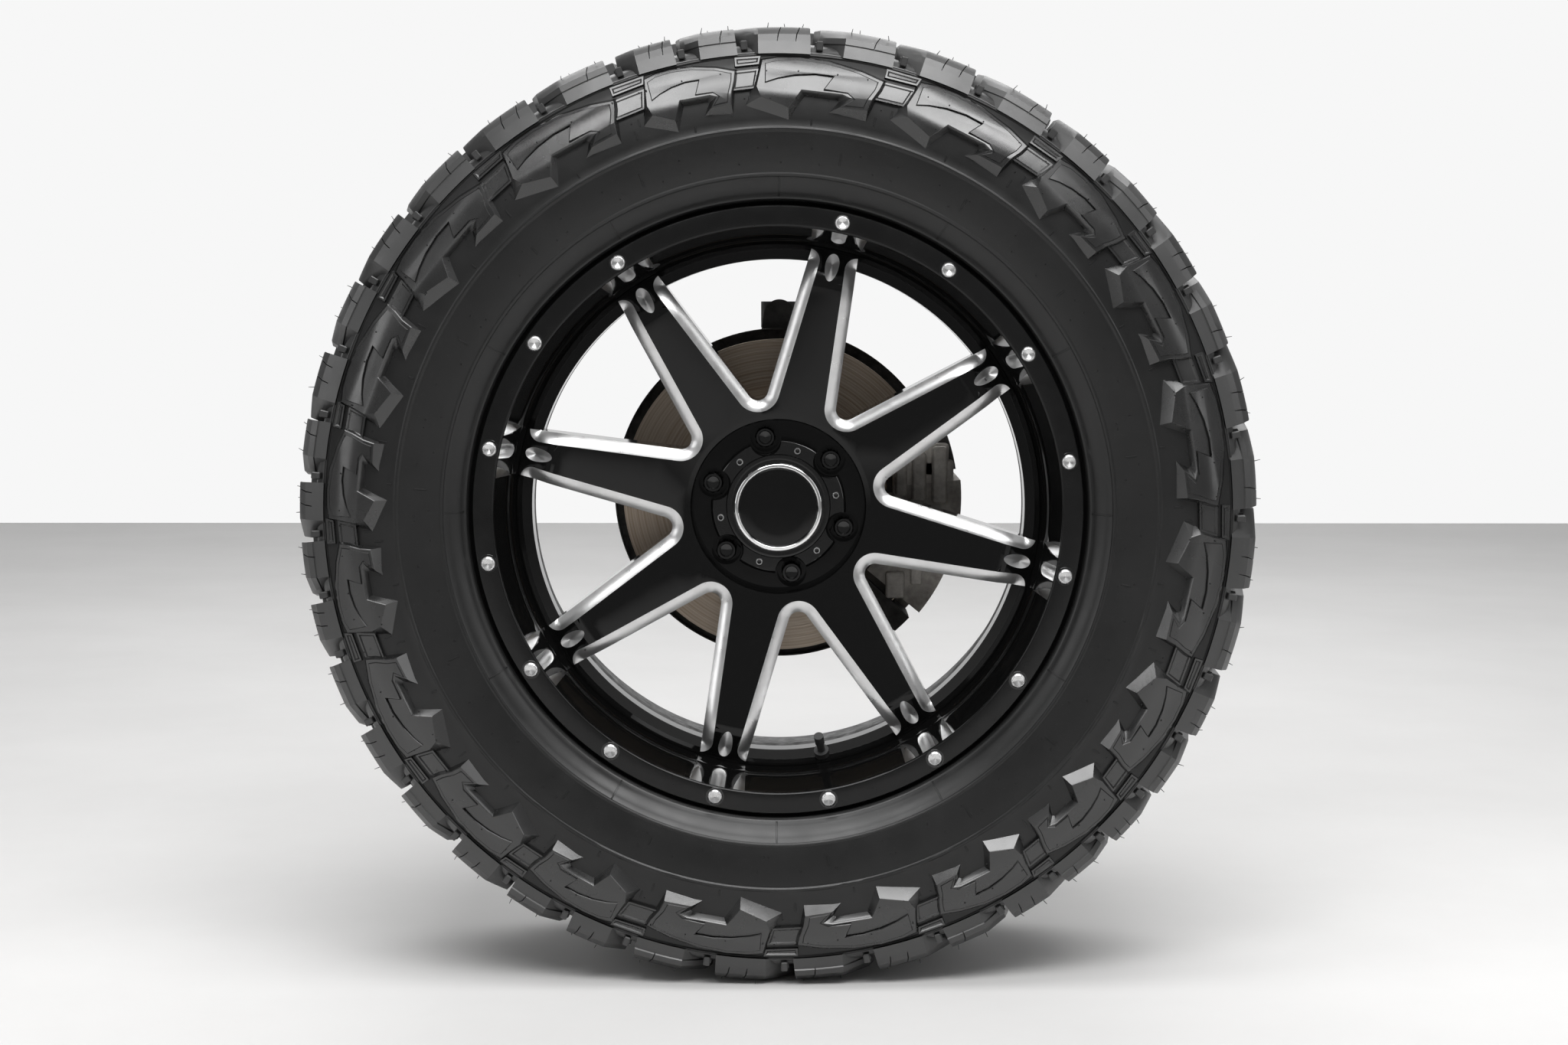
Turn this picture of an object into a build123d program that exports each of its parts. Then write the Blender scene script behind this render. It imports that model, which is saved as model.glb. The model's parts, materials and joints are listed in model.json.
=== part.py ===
from build123d import *
import os
from math import atan2, cos, degrees, radians, sin, tan

os.makedirs("parts", exist_ok=True)

# Front wheel corner of a pickup truck: tyre, alloy wheel, hub, disc brake and knuckle.
# The origin is the centre of the knuckle's lower ball-joint bore. +Y points inboard,
# -X towards the front of the truck and +Z up. The wheel turns about a line along Y.
# A depth is a distance inboard of the wheel's outer lip plane.

# Driving dimensions, in mm
axle_height = 130.0
ball_joint_depth = 286.0

# Rim
rim_width = 254.0
lip_radius = 298.5
lip_inner_radius = 278.0
lip_thickness = 13.0
bead_seat_radius = 279.4
bead_seat_width = 22.0
bead_seat_drop = 1.9
hump_height = 1.2
barrel_wall = 7.5
slope_end_radius = 267.0
slope_end_depth = 50.0
step_drop = 2.0
step_length = 6.0
ledge_depth = 68.0
ledge_outer_radius = 256.5
well_radius = 246.5
well_end_depth = 112.0
barrel_radius = 266.5
barrel_start_depth = 135.0
inner_lip_radius = 283.0
inner_lip_thickness = 8.0
lip_edge_rounding = 3.0
hump_slope = 4.0
hump_end = 9.0

# Lip bolts
lip_bolt_circle_radius = 287.8
lip_bolt_places = 16
lip_bolt_head_radius = 7.4
lip_bolt_head_height = 4.5
lip_bolt_recess = 2.0
recess_clearance = 1.0

# Spokes; angles run clockwise from the top as seen from outboard
spoke_count = 8
first_spoke_angle = 12.5
spoke_outer_radius = 252.0
spoke_outer_half_width = 24.0
spoke_taper = 0.077
spoke_face_inner_radius = 93.0
spoke_face_inner_depth = 67.0
spoke_crest_radius = 229.0
spoke_crest_depth = 47.5
spoke_end_radius = 261.0
spoke_end_depth = 59.0
spoke_back_outer_depth = 88.0
spoke_back_inner_depth = 124.0
window_corner_radius = 10.5
bevel_width = 11.5
bevel_depth = 7.0
bevel_overrun = 4.0

# Hub pad and nut pockets
pad_depth = 162.0
pad_radius = 84.0
pad_draft = 3.0
pad_flare = 16.0
pad_height_behind = 14.0
trough_edge_drop = 3.0
wheel_bore_radius = 53.05
trough_radius = 87.0
trough_depth = 92.0
pitch_circle_diameter = 139.7
stud_count = 6
first_stud_angle = 349.0
pocket_radius = 15.0
seat_depth = 132.0
stud_hole_radius = 7.6

# Lug nuts and studs
nut_radius = 10.3
nut_top_depth = 86.0
nut_chamfer = 2.0
stud_radius = 6.9
thread_clearance = 0.1
stud_top_depth = 100.0
nut_cap_thickness = 8.0

# Centre cap
cap_base_radius = 68.0
cap_base_depth = 74.0
cap_notch_radius = 16.5
cap_skirt_length = 16.0
cap_skirt_wall = 3.0
cap_fit_clearance = 0.1
cap_ring_radius = 44.4
cap_disc_radius = 39.5
cap_front_depth = 59.0
cap_disc_recess = 1.5
cap_disc_thickness = 3.0
cap_screw_circle_radius = 59.0
cap_screw_radius = 3.4
cap_screw_height = 2.6
cap_ring_chamfer = 1.0

# Tyre
tyre_radius = 470.0
tyre_section_width = 340.0
tyre_centre_depth = 140.0
groove_depth = 18.0
shoulder_half_width = 150.0
lug_shoulder = 145.0
lug_foot = 161.0
sidewall_top_radius = 437.0
sidewall_bottom_radius = 372.0
sidewall_top_inset = 10.0
sidewall_bottom_inset = 7.0
bead_bulge_radius = 318.0
bead_bulge_inset = 20.0
flange_clearance = 2.5
tread_thickness = 34.0
sidewall_thickness = 13.0
crown_half_width = 128.0
tyre_fit_clearance = 0.2
# A tread pitch varies round the tyre; each letter is one pitch, in degrees before scaling
pitch_lengths = {"a": 15.0, "b": 16.6, "c": 18.0, "d": 20.3}
pitch_order = "ddbcddbabddbccaacdda"
first_pitch_angle = 357.6
facets_per_pitch = 2
lug_rooting = 6.0
claw_rooting = 14.0
# Lug corners, each a share of the pitch and a half width or a radius in mm
shoulder_lug_long = ((0.0, 161.0), (0.31, 161.0), (0.13, 78.0), (-0.18, 78.0))
shoulder_lug_short = ((0.48, 161.0), (0.83, 161.0), (0.66, 92.0), (0.31, 92.0))
crown_lug_outer = ((0.02, 8.0), (0.46, 14.0), (0.52, 66.0), (0.18, 70.0))
crown_lug_inner = ((0.52, -8.0), (0.96, -14.0), (1.02, -66.0), (0.68, -70.0))
outboard_claw = (
    (0.0, 430.0),
    (0.40, 437.0),
    (0.79, 430.0),
    (0.70, 381.0),
    (0.43, 385.0),
    (0.48, 403.0),
    (0.25, 404.0),
    (0.15, 372.0),
    (-0.06, 394.0),
)
inboard_claw = (
    (0.0, 430.0),
    (0.40, 437.0),
    (0.79, 430.0),
    (0.70, 388.0),
    (0.15, 388.0),
    (-0.06, 394.0),
)

# Hub and brake disc
disc_hat_thickness = 8.0
hub_flange_thickness = 12.0
hub_flange_radius = 82.0
hub_pilot_radius = 39.0
hub_pilot_depth = 146.0
hub_pilot_chamfer = 2.0
hub_nut_radius = 27.0
hub_nut_room = 30.0
drive_bore_radius = 15.5
spindle_radius = 27.0
spindle_shortfall = 4.0
disc_radius = 165.0
disc_neck = 4.0
disc_neck_depth = 2.0
disc_face_depth = 207.0
disc_thickness = 30.0
disc_cheek_thickness = 9.0
vent_count = 36
vent_width = 8.0
vent_overrun = 2.0
hat_radius = 94.0
hat_wall = 8.0
disc_pilot_clearance = 0.3

# Wheel bearing
running_clearance = 0.08
bearing_radius = 48.0
bearing_gap = 5.5
bearing_flange_radius = 68.0
bearing_flange_thickness = 10.0
bearing_bolt_circle_radius = 58.0
bearing_bolt_radius = 5.0
bearing_bolt_count = 3
first_bearing_bolt_angle = 30.0
bolt_head_height = 7.0
bolt_head_ratio = 1.7

# Brake shield
shield_gap = 5.0
shield_thickness = 1.5
shield_edge_clearance = 9.5
shield_rim_height = 10.0
shield_cutout_half_angle = 41.0
shield_cutout_radius = 90.0

# Knuckle
knuckle_ring_radius = 72.0
knuckle_thickness = 31.0
upper_joint_height = 190.0
lower_joint_bore_radius = 11.0
lower_joint_boss_radius = 24.0
lower_joint_boss_length = 36.0
upper_joint_bore_radius = 8.5
upper_joint_boss_radius = 20.0
upper_joint_boss_length = 28.0
tie_rod_reach = 150.0
tie_rod_drop = 45.0
tie_rod_bore_radius = 8.0
tie_rod_boss_radius = 17.0
tie_rod_boss_length = 26.0
arm_thickness = 20.0
arm_root_radius = 40.0
arm_root_share = 0.2
arm_tip_inset = 3.5
ear_clearance = 1.0

# Caliper and its bracket
caliper_angle = 107.0
caliper_half_angle = 22.5
caliper_bridge_clearance = 7.0
caliper_bridge_thickness = 19.0
caliper_housing_height = 81.0
finger_length = 71.0
finger_thickness = 14.0
finger_gap_half_angle = 5.5
finger_gap_inset = 12.0
finger_gap_overrun = 2.0
housing_length = 46.0
piston_radius = 22.0
piston_inset = 27.0
piston_half_angle = 11.0
piston_clearance = 0.1
piston_stroke_left = 3.0
piston_floor = 8.0
bracket_half_angle = 37.0
bracket_gap_angle = 26.0
bracket_leg_clearance = 5.0
bracket_leg_thickness = 18.0
bracket_beam_height = 13.0
bracket_beam_clearance = 3.0
bracket_thickness = 14.0
hook_clearance = 5.0
hook_overhang = 4.0
hook_pad_gap = 2.0
mount_ear_angle = 32.0
mount_ear_inset = 15.0
mount_ear_radius = 16.0
mount_bolt_radius = 6.5
mount_bolt_head_radius = 10.5
guide_pin_angle = 30.0
guide_pin_inset = 13.0
guide_pin_radius = 4.5
guide_ear_thickness = 9.0
guide_ear_clearance = 1.0
guide_ear_half_height = 9.0
guide_ear_reach_angle = 3.5
pad_clearance = 0.5
lining_thickness = 10.0
backing_thickness = 6.0
pad_height = 48.0
pad_edge_inset = 3.0
lining_half_angle = 21.5
backing_half_angle = 25.7
hose_port_radius = 5.0
hose_port_length = 12.0
hose_port_inset = 16.0

# Valve and balance weight
valve_angle = 170.0
valve_seat_radius = 254.5
valve_seat_depth = ledge_depth
valve_tilt = 50.0
valve_length = 28.0
valve_base_radius = 7.5
valve_base_height = 6.0
valve_grip = 16.0
valve_stem_radius = 3.8
valve_cap_radius = 4.8
valve_cap_length = 11.0
weight_angle = 350.0
weight_length = 12.0
weight_width = 19.0
weight_thickness = 4.0
weight_depth = 190.0

# Sizes that follow from the ones above
disc_inner_radius = hat_radius + disc_neck
shield_radius = disc_radius + shield_edge_clearance + shield_thickness
caliper_bridge_radius = disc_radius + caliper_bridge_clearance
caliper_outer_radius = caliper_bridge_radius + caliper_bridge_thickness
caliper_housing_radius = caliper_outer_radius - caliper_housing_height
finger_radius = caliper_outer_radius - finger_length
piston_circle_radius = disc_radius - piston_inset
pad_outer_radius = disc_radius - pad_edge_inset
pad_inner_radius = pad_outer_radius - pad_height
leg_radius = disc_radius + bracket_leg_clearance
bracket_outer_radius = leg_radius + bracket_leg_thickness
bracket_beam_outer_radius = caliper_housing_radius - bracket_beam_clearance
bracket_beam_inner_radius = bracket_beam_outer_radius - bracket_beam_height
hook_inner_radius = pad_inner_radius + hook_pad_gap
mount_ear_circle_radius = disc_radius - mount_ear_inset
guide_pin_circle_radius = caliper_outer_radius - guide_pin_inset

# Planes and axes that everything is placed by
lip_y = -ball_joint_depth
wheel_section = Plane(origin=(0, lip_y, axle_height), x_dir=(1, 0, 0), z_dir=(0, 0, 1))
wheel_axis = Axis((0, lip_y, axle_height), (0, 1, 0))
barrel_width = rim_width + 2 * lip_thickness
hub_flange_depth = pad_depth + disc_hat_thickness
bearing_front_depth = hub_flange_depth + hub_flange_thickness + bearing_gap
disc_back_depth = disc_face_depth + disc_thickness
shield_depth = disc_back_depth + shield_gap
knuckle_depth = shield_depth + shield_thickness
bearing_flange_depth = shield_depth - bearing_flange_thickness
bearing_end_depth = knuckle_depth + knuckle_thickness
ear_depth = shield_depth + bracket_thickness + ear_clearance


def wheel_plane(depth):
    """A plane square to the wheel axis, seen from outboard: local x is +X, local y is +Z."""
    return Plane(
        origin=(0, lip_y + depth, axle_height), x_dir=(1, 0, 0), z_dir=(0, -1, 0)
    )


def clock(radius, angle):
    """A point on a wheel plane, its angle clockwise from the top."""
    return (radius * sin(radians(angle)), radius * cos(radians(angle)))


def save(builder, name):
    builder.part.label = name
    export_step(builder.part, f"parts/{name}.step")


def turned(points):
    """A solid of revolution about the wheel axis, from (radius, depth) points."""
    with BuildPart() as body:
        with BuildSketch(wheel_section):
            Polygon(*points, align=None)
        revolve(axis=wheel_axis)
    return body.part


def sector_block(inner, outer, start, end, front, back):
    """A ring sector between two clock angles and two depths."""
    middle = (start + end) / 2
    with BuildPart() as block:
        with BuildSketch(wheel_plane(front)):
            with BuildLine():
                ThreePointArc(
                    clock(outer, start), clock(outer, middle), clock(outer, end)
                )
                Line(clock(outer, end), clock(inner, end))
                ThreePointArc(
                    clock(inner, end), clock(inner, middle), clock(inner, start)
                )
                Line(clock(inner, start), clock(outer, start))
            make_face()
        extrude(amount=front - back)
    return block.part


def pins(radius, circle_radius, angles, front, back):
    """Round pins along the wheel axis at given clock angles, between two depths."""
    with BuildPart() as rods:
        with BuildSketch(wheel_plane(front)):
            with Locations(*[clock(circle_radius, angle) for angle in angles]):
                Circle(radius)
        extrude(amount=front - back)
    return rods.part


stud_angles = [first_stud_angle + i * 360 / stud_count for i in range(stud_count)]
stud_circle_radius = pitch_circle_diameter / 2

# ---------------------------------------------------------------- tyre
pitch_scale = 360 / sum(pitch_lengths[name] for name in pitch_order)
pitch_angles = {name: length * pitch_scale for name, length in pitch_lengths.items()}
widest_facet = max(pitch_angles.values()) / facets_per_pitch
bead_half_width = rim_width / 2 - tyre_fit_clearance
# The facets' flats clear the round rim, so their corners stand a little further out
bead_radius = (bead_seat_radius + tyre_fit_clearance) / cos(radians(widest_facet / 2))
half_section = tyre_section_width / 2
groove_radius = tyre_radius - groove_depth
cavity_radius = tyre_radius - tread_thickness
tyre_outside = [
    (bead_radius - bead_seat_drop, bead_half_width - bead_seat_width),
    (bead_radius, bead_half_width),
    (lip_radius + flange_clearance, bead_half_width),
    (bead_bulge_radius, half_section - bead_bulge_inset),
    (sidewall_bottom_radius, half_section - sidewall_bottom_inset),
    (sidewall_top_radius, half_section - sidewall_top_inset),
    (groove_radius, shoulder_half_width),
]
tyre_inside = [
    (cavity_radius, crown_half_width),
    (
        sidewall_bottom_radius,
        half_section - sidewall_bottom_inset - sidewall_thickness,
    ),
]
half_outline = tyre_inside + tyre_outside
tyre_outline = [(w, r) for r, w in half_outline] + [
    (-w, r) for r, w in reversed(half_outline)
]


def tread_plane(height):
    """A plane square to the tyre's radius at the top: local x is +X, local y is inboard."""
    return Plane(
        origin=(0, lip_y + tyre_centre_depth, axle_height + height),
        x_dir=(1, 0, 0),
        z_dir=(0, 0, 1),
    )


def across_tread(outline, half_length):
    """A bar along X at the tyre's top, its (half width, radius) outline across the tread."""
    across = Plane(
        origin=(0, lip_y + tyre_centre_depth, axle_height),
        x_dir=(0, 1, 0),
        z_dir=(1, 0, 0),
    )
    with BuildPart() as bar:
        with BuildSketch(across):
            Polygon(*outline, align=None)
        extrude(amount=half_length, both=True)
    return bar.part


def carcass_facet(width):
    """One flat-sided slice of the tyre's casing, so many degrees wide, at the top."""
    lean = radians(width / 2)
    flats = [(w, r * cos(lean)) for w, r in tyre_outline]
    with BuildPart() as facet:
        add(across_tread(flats, tyre_radius * tan(lean) * 2))
        for side in (-1, 1):
            split(
                bisect_by=Plane(
                    origin=(0, 0, axle_height), z_dir=(-side * cos(lean), 0, sin(lean))
                )
            )
    return facet.part


def tread_lug(corners, pitch, side):
    """A tread lug, turned to its place in a pitch that starts at the top."""
    shares = [share for share, width in corners]
    middle = (min(shares) + max(shares)) / 2
    spread = (max(shares) - min(shares)) / 2 * pitch
    top = tyre_radius * cos(radians(spread))
    is_shoulder = max(width for share, width in corners) > shoulder_half_width
    root = sidewall_top_radius if is_shoulder else groove_radius - lug_rooting
    outline = [
        (tyre_radius * radians((share - middle) * pitch), side * width)
        for share, width in corners
    ]
    with BuildPart() as lug:
        with BuildSketch(tread_plane(root)):
            Polygon(*outline, align=None)
        extrude(amount=top - root)
        if is_shoulder:
            # The lug's outer end slopes down to the sidewall
            shoulder_y = lip_y + tyre_centre_depth + side * lug_shoulder
            slope = Plane(
                origin=(0, shoulder_y, axle_height + top),
                z_dir=(0, side * (top - root), lug_foot - lug_shoulder),
            )
            split(bisect_by=slope, keep=Keep.BOTTOM)
    return lug.part.rotate(wheel_axis, middle * pitch)


def claw(outline, pitch, side):
    """The raised rib on a sidewall, in a pitch that starts at the top."""
    inner_face = tyre_centre_depth + side * (half_section - claw_rooting)
    outer_face = tyre_centre_depth + side * half_section
    with BuildPart() as rib:
        with BuildSketch(wheel_plane(min(inner_face, outer_face))):
            Polygon(
                *[clock(radius, share * pitch) for share, radius in outline],
                align=None,
            )
        extrude(amount=-abs(outer_face - inner_face))
    return rib.part


def tyre_pitch(pitch):
    """One pitch of the tyre, from the top clockwise: casing, tread lugs and claws."""
    facet = pitch / facets_per_pitch
    with BuildPart() as segment:
        for i in range(facets_per_pitch):
            add(carcass_facet(facet).rotate(wheel_axis, (i + 0.5) * facet))
        for side in (-1, 1):
            add(tread_lug(shoulder_lug_long, pitch, side))
            add(tread_lug(shoulder_lug_short, pitch, side))
        add(claw(outboard_claw, pitch, -1))
        add(claw(inboard_claw, pitch, 1))
        add(tread_lug(crown_lug_outer, pitch, -1))
        add(tread_lug(crown_lug_inner, pitch, -1))
    return segment.part


pitch_parts = {name: tyre_pitch(angle) for name, angle in pitch_angles.items()}
with BuildPart() as tyre:
    pitch_start = first_pitch_angle
    for name in pitch_order:
        add(pitch_parts[name].rotate(wheel_axis, pitch_start))
        pitch_start += pitch_angles[name]
save(tyre, "tyre")

# ---------------------------------------------------------------- valve
valve_seat = clock(valve_seat_radius, valve_angle)
valve_lean = sin(radians(valve_tilt))
valve_plane = Plane(
    origin=(valve_seat[0], lip_y + valve_seat_depth, axle_height + valve_seat[1]),
    z_dir=(
        -valve_lean * sin(radians(valve_angle)),
        -cos(radians(valve_tilt)),
        -valve_lean * cos(radians(valve_angle)),
    ),
)
with BuildPart() as valve_stem:
    for radius, start, end in (
        (valve_base_radius, -valve_grip, valve_base_height),
        (valve_stem_radius, valve_base_height, valve_length),
        (valve_cap_radius, valve_length - valve_cap_length, valve_length),
    ):
        with BuildSketch(valve_plane.offset(start)):
            Circle(radius)
        extrude(amount=end - start)
save(valve_stem, "valve_stem")

# ---------------------------------------------------------------- alloy wheel
seat_start = lip_thickness
seat_end = seat_start + bead_seat_width
seat_low_radius = bead_seat_radius - bead_seat_drop
step_radius = slope_end_radius - step_drop
step_depth = slope_end_depth + step_length
inner_edge = barrel_width - inner_lip_thickness
seat_back = barrel_width - seat_end
barrel_outline = [
    # inside, from the outer lip to the inner lip
    (lip_inner_radius, 0),
    (slope_end_radius, slope_end_depth),
    (step_radius, step_depth),
    (spoke_end_radius, spoke_end_depth),
    (ledge_outer_radius, ledge_depth),
    (well_radius, ledge_depth),
    (well_radius, well_end_depth),
    (barrel_radius, barrel_start_depth),
    (barrel_radius, seat_back),
    (inner_lip_radius, inner_edge),
    (inner_lip_radius, barrel_width),
    # outside, back to the outer lip
    (lip_radius - lip_edge_rounding, barrel_width),
    (lip_radius, barrel_width - lip_edge_rounding),
    (lip_radius, barrel_width - lip_thickness),
    (bead_seat_radius, barrel_width - seat_start),
    (seat_low_radius, seat_back),
    (seat_low_radius + hump_height, seat_back - hump_slope),
    (barrel_radius + barrel_wall, seat_back - hump_end),
    (barrel_radius + barrel_wall, barrel_start_depth),
    (well_radius + barrel_wall, well_end_depth),
    (well_radius + barrel_wall, ledge_depth + barrel_wall),
    (ledge_outer_radius + barrel_wall, ledge_depth),
    (slope_end_radius + hump_height, seat_end + hump_end + barrel_wall),
    (seat_low_radius + hump_height, seat_end + hump_slope),
    (seat_low_radius, seat_end),
    (bead_seat_radius, seat_start),
    (lip_radius, seat_start),
    (lip_radius, lip_edge_rounding),
    (lip_radius - lip_edge_rounding, 0),
]
web_overlap = 1.5
web_end_radius = spoke_end_radius + web_overlap
centre_outline = [
    (web_end_radius, spoke_end_depth + web_overlap),
    (spoke_end_radius, spoke_end_depth),
    (spoke_crest_radius, spoke_crest_depth),
    (spoke_face_inner_radius, spoke_face_inner_depth),
    (trough_radius, spoke_face_inner_depth + trough_edge_drop),
    (trough_radius, trough_depth),
    (wheel_bore_radius, trough_depth),
    (wheel_bore_radius, pad_depth),
    (pad_radius, pad_depth),
    (pad_radius + pad_draft, pad_depth - pad_height_behind),
    (pad_radius + pad_flare, spoke_back_inner_depth),
    (well_radius + web_overlap, spoke_back_outer_depth),
]
# A window is drawn with its middle along local +x, between two spoke edges. A spoke edge
# leaves the spoke's middle line by the taper, so the two meet at the window's apex.
half_pitch = 180 / spoke_count
edge_angle = half_pitch + degrees(atan2(spoke_taper, 1))
edge_offset = spoke_outer_half_width + spoke_taper * spoke_outer_radius
apex_u = edge_offset / (tan(radians(half_pitch)) + spoke_taper)
apex_radius = apex_u / cos(radians(half_pitch))
window_reach = lip_radius
first_window_angle = first_spoke_angle + half_pitch


# The spoke faces lean back towards the hub; a window's bevel follows that slope.
face_slope = (spoke_face_inner_depth - spoke_crest_depth) / (
    spoke_crest_radius - spoke_face_inner_radius
)
face_axis_depth = spoke_face_inner_depth + face_slope * spoke_face_inner_radius
face_lean = cos(atan2(face_slope, 1))


def face_plane(depth):
    """A plane along the spoke faces, local x outwards, so far behind the faces."""
    return Plane(
        origin=(0, 0, -face_axis_depth - depth),
        x_dir=(1, 0, face_slope),
        z_dir=(-face_slope, 0, 1),
    )


def window_outline(margin, corner_radius):
    """A window's outline on a face plane, widened all round by a margin."""
    apex = apex_radius - margin / sin(radians(edge_angle))
    half_width = (window_reach - apex) * tan(radians(edge_angle))
    with BuildSketch() as outline:
        Polygon(
            (apex / face_lean, 0),
            (window_reach / face_lean, half_width),
            (window_reach / face_lean, -half_width),
            align=None,
        )
        fillet(outline.vertices().sort_by(Axis.X)[0], corner_radius)
    return outline.sketch


bevel_rise = bevel_depth + bevel_overrun
bevel_reach = bevel_width * bevel_rise / bevel_depth
with BuildPart() as window_cutter:
    with BuildSketch(face_plane(bevel_depth)) as opening:
        add(window_outline(0, window_corner_radius))
    with BuildSketch(face_plane(-bevel_overrun)):
        add(window_outline(bevel_reach, window_corner_radius + bevel_reach))
    loft()
    extrude(opening.face(), amount=pad_depth, dir=(0, 0, -1))

bolt_angles = [
    first_spoke_angle + i * 360 / lip_bolt_places for i in range(lip_bolt_places - 1)
]
with BuildPart() as alloy_wheel:
    add(turned(centre_outline))
    with Locations(wheel_plane(0)):
        with PolarLocations(0, spoke_count, 90 - first_window_angle):
            add(window_cutter.part, mode=Mode.SUBTRACT)
    add(turned(barrel_outline))
    # Nut pockets and stud holes
    add(
        pins(pocket_radius, stud_circle_radius, stud_angles, 0, seat_depth),
        mode=Mode.SUBTRACT,
    )
    add(
        pins(stud_hole_radius, stud_circle_radius, stud_angles, 0, pad_depth),
        mode=Mode.SUBTRACT,
    )
    add(valve_stem.part, mode=Mode.SUBTRACT)
    # Lip bolt recesses
    add(
        pins(
            lip_bolt_head_radius + recess_clearance,
            lip_bolt_circle_radius,
            bolt_angles,
            0,
            lip_bolt_recess,
        ),
        mode=Mode.SUBTRACT,
    )
save(alloy_wheel, "alloy_wheel")

with BuildPart() as lip_bolts:
    add(
        pins(
            lip_bolt_head_radius,
            lip_bolt_circle_radius,
            bolt_angles,
            lip_bolt_recess - lip_bolt_head_height,
            lip_bolt_recess,
        )
    )
save(lip_bolts, "lip_bolts")

# ---------------------------------------------------------------- lug nuts and studs
nut_bore_radius = stud_radius + thread_clearance
with BuildPart() as lug_nuts:
    add(pins(nut_radius, stud_circle_radius, stud_angles, nut_top_depth, seat_depth))
    chamfer(lug_nuts.edges().group_by(Axis.Y)[0], nut_chamfer)
    add(
        pins(
            nut_bore_radius,
            stud_circle_radius,
            stud_angles,
            nut_top_depth + nut_cap_thickness,
            seat_depth,
        ),
        mode=Mode.SUBTRACT,
    )
save(lug_nuts, "lug_nuts")

stud_end_depth = hub_flange_depth + hub_flange_thickness
with BuildPart() as wheel_studs:
    add(pins(stud_radius, stud_circle_radius, stud_angles, stud_top_depth, stud_end_depth))
save(wheel_studs, "wheel_studs")

# ---------------------------------------------------------------- centre cap
screw_angles = [angle + 180 / stud_count for angle in stud_angles]
skirt_radius = wheel_bore_radius - cap_fit_clearance
with BuildPart() as cap_base:
    add(
        turned(
            [
                (cap_disc_radius, cap_base_depth),
                (cap_base_radius, cap_base_depth),
                (cap_base_radius, trough_depth),
                (skirt_radius, trough_depth),
                (skirt_radius, trough_depth + cap_skirt_length),
                (skirt_radius - cap_skirt_wall, trough_depth + cap_skirt_length),
                (skirt_radius - cap_skirt_wall, trough_depth - cap_skirt_wall),
                (cap_disc_radius, trough_depth - cap_skirt_wall),
            ]
        )
    )
    # A notch gives each nut its socket room
    add(
        pins(
            cap_notch_radius,
            stud_circle_radius,
            stud_angles,
            cap_base_depth,
            trough_depth,
        ),
        mode=Mode.SUBTRACT,
    )
save(cap_base, "cap_base")

with BuildPart() as cap_ring:
    add(
        turned(
            [
                (cap_disc_radius, cap_front_depth),
                (cap_ring_radius - cap_ring_chamfer, cap_front_depth),
                (cap_ring_radius, cap_front_depth + cap_ring_chamfer),
                (cap_ring_radius, cap_base_depth),
                (cap_disc_radius, cap_base_depth),
            ]
        )
    )
save(cap_ring, "cap_ring")

cap_disc_depth = cap_front_depth + cap_disc_recess
with BuildPart() as cap_disc:
    add(
        pins(
            cap_disc_radius,
            0,
            [0],
            cap_disc_depth,
            cap_disc_depth + cap_disc_thickness,
        )
    )
save(cap_disc, "cap_disc")

with BuildPart() as cap_screws:
    add(
        pins(
            cap_screw_radius,
            cap_screw_circle_radius,
            screw_angles,
            cap_base_depth - cap_screw_height,
            cap_base_depth,
        )
    )
save(cap_screws, "cap_screws")

# ---------------------------------------------------------------- hub and brake disc
hub_nut_depth = hub_pilot_depth + hub_nut_room
spindle_end_depth = bearing_end_depth - spindle_shortfall
with BuildPart() as hub:
    add(
        turned(
            [
                (hub_nut_radius, hub_pilot_depth),
                (hub_pilot_radius - hub_pilot_chamfer, hub_pilot_depth),
                (hub_pilot_radius, hub_pilot_depth + hub_pilot_chamfer),
                (hub_pilot_radius, hub_flange_depth),
                (hub_flange_radius, hub_flange_depth),
                (hub_flange_radius, stud_end_depth),
                (spindle_radius, stud_end_depth),
                (spindle_radius, spindle_end_depth),
                (drive_bore_radius, spindle_end_depth),
                (drive_bore_radius, hub_nut_depth),
                (hub_nut_radius, hub_nut_depth),
            ]
        )
    )
    add(
        pins(stud_radius, stud_circle_radius, stud_angles, pad_depth, stud_end_depth),
        mode=Mode.SUBTRACT,
    )
save(hub, "hub")

hat_bore_radius = hub_pilot_radius + disc_pilot_clearance
hat_inner_radius = hat_radius - hat_wall
cheek_depth = disc_face_depth + disc_cheek_thickness
with BuildPart() as brake_disc:
    add(
        turned(
            [
                (hat_bore_radius, pad_depth),
                (hat_radius, pad_depth),
                (hat_radius, disc_face_depth - disc_neck_depth),
                (disc_inner_radius, disc_face_depth),
                (disc_radius, disc_face_depth),
                (disc_radius, disc_back_depth),
                (disc_inner_radius, disc_back_depth),
                (disc_inner_radius, cheek_depth),
                (hat_inner_radius, cheek_depth),
                (hat_inner_radius, hub_flange_depth),
                (hat_bore_radius, hub_flange_depth),
            ]
        )
    )
    add(
        pins(stud_hole_radius, stud_circle_radius, stud_angles, pad_depth, stud_end_depth),
        mode=Mode.SUBTRACT,
    )
    # Radial vents between the two cheeks
    with Locations(wheel_plane((disc_face_depth + disc_back_depth) / 2)):
        with PolarLocations((disc_radius + disc_inner_radius) / 2, vent_count):
            Box(
                disc_radius - disc_inner_radius + 2 * vent_overrun,
                vent_width,
                disc_thickness - 2 * disc_cheek_thickness,
                mode=Mode.SUBTRACT,
            )
save(brake_disc, "brake_disc")

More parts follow.
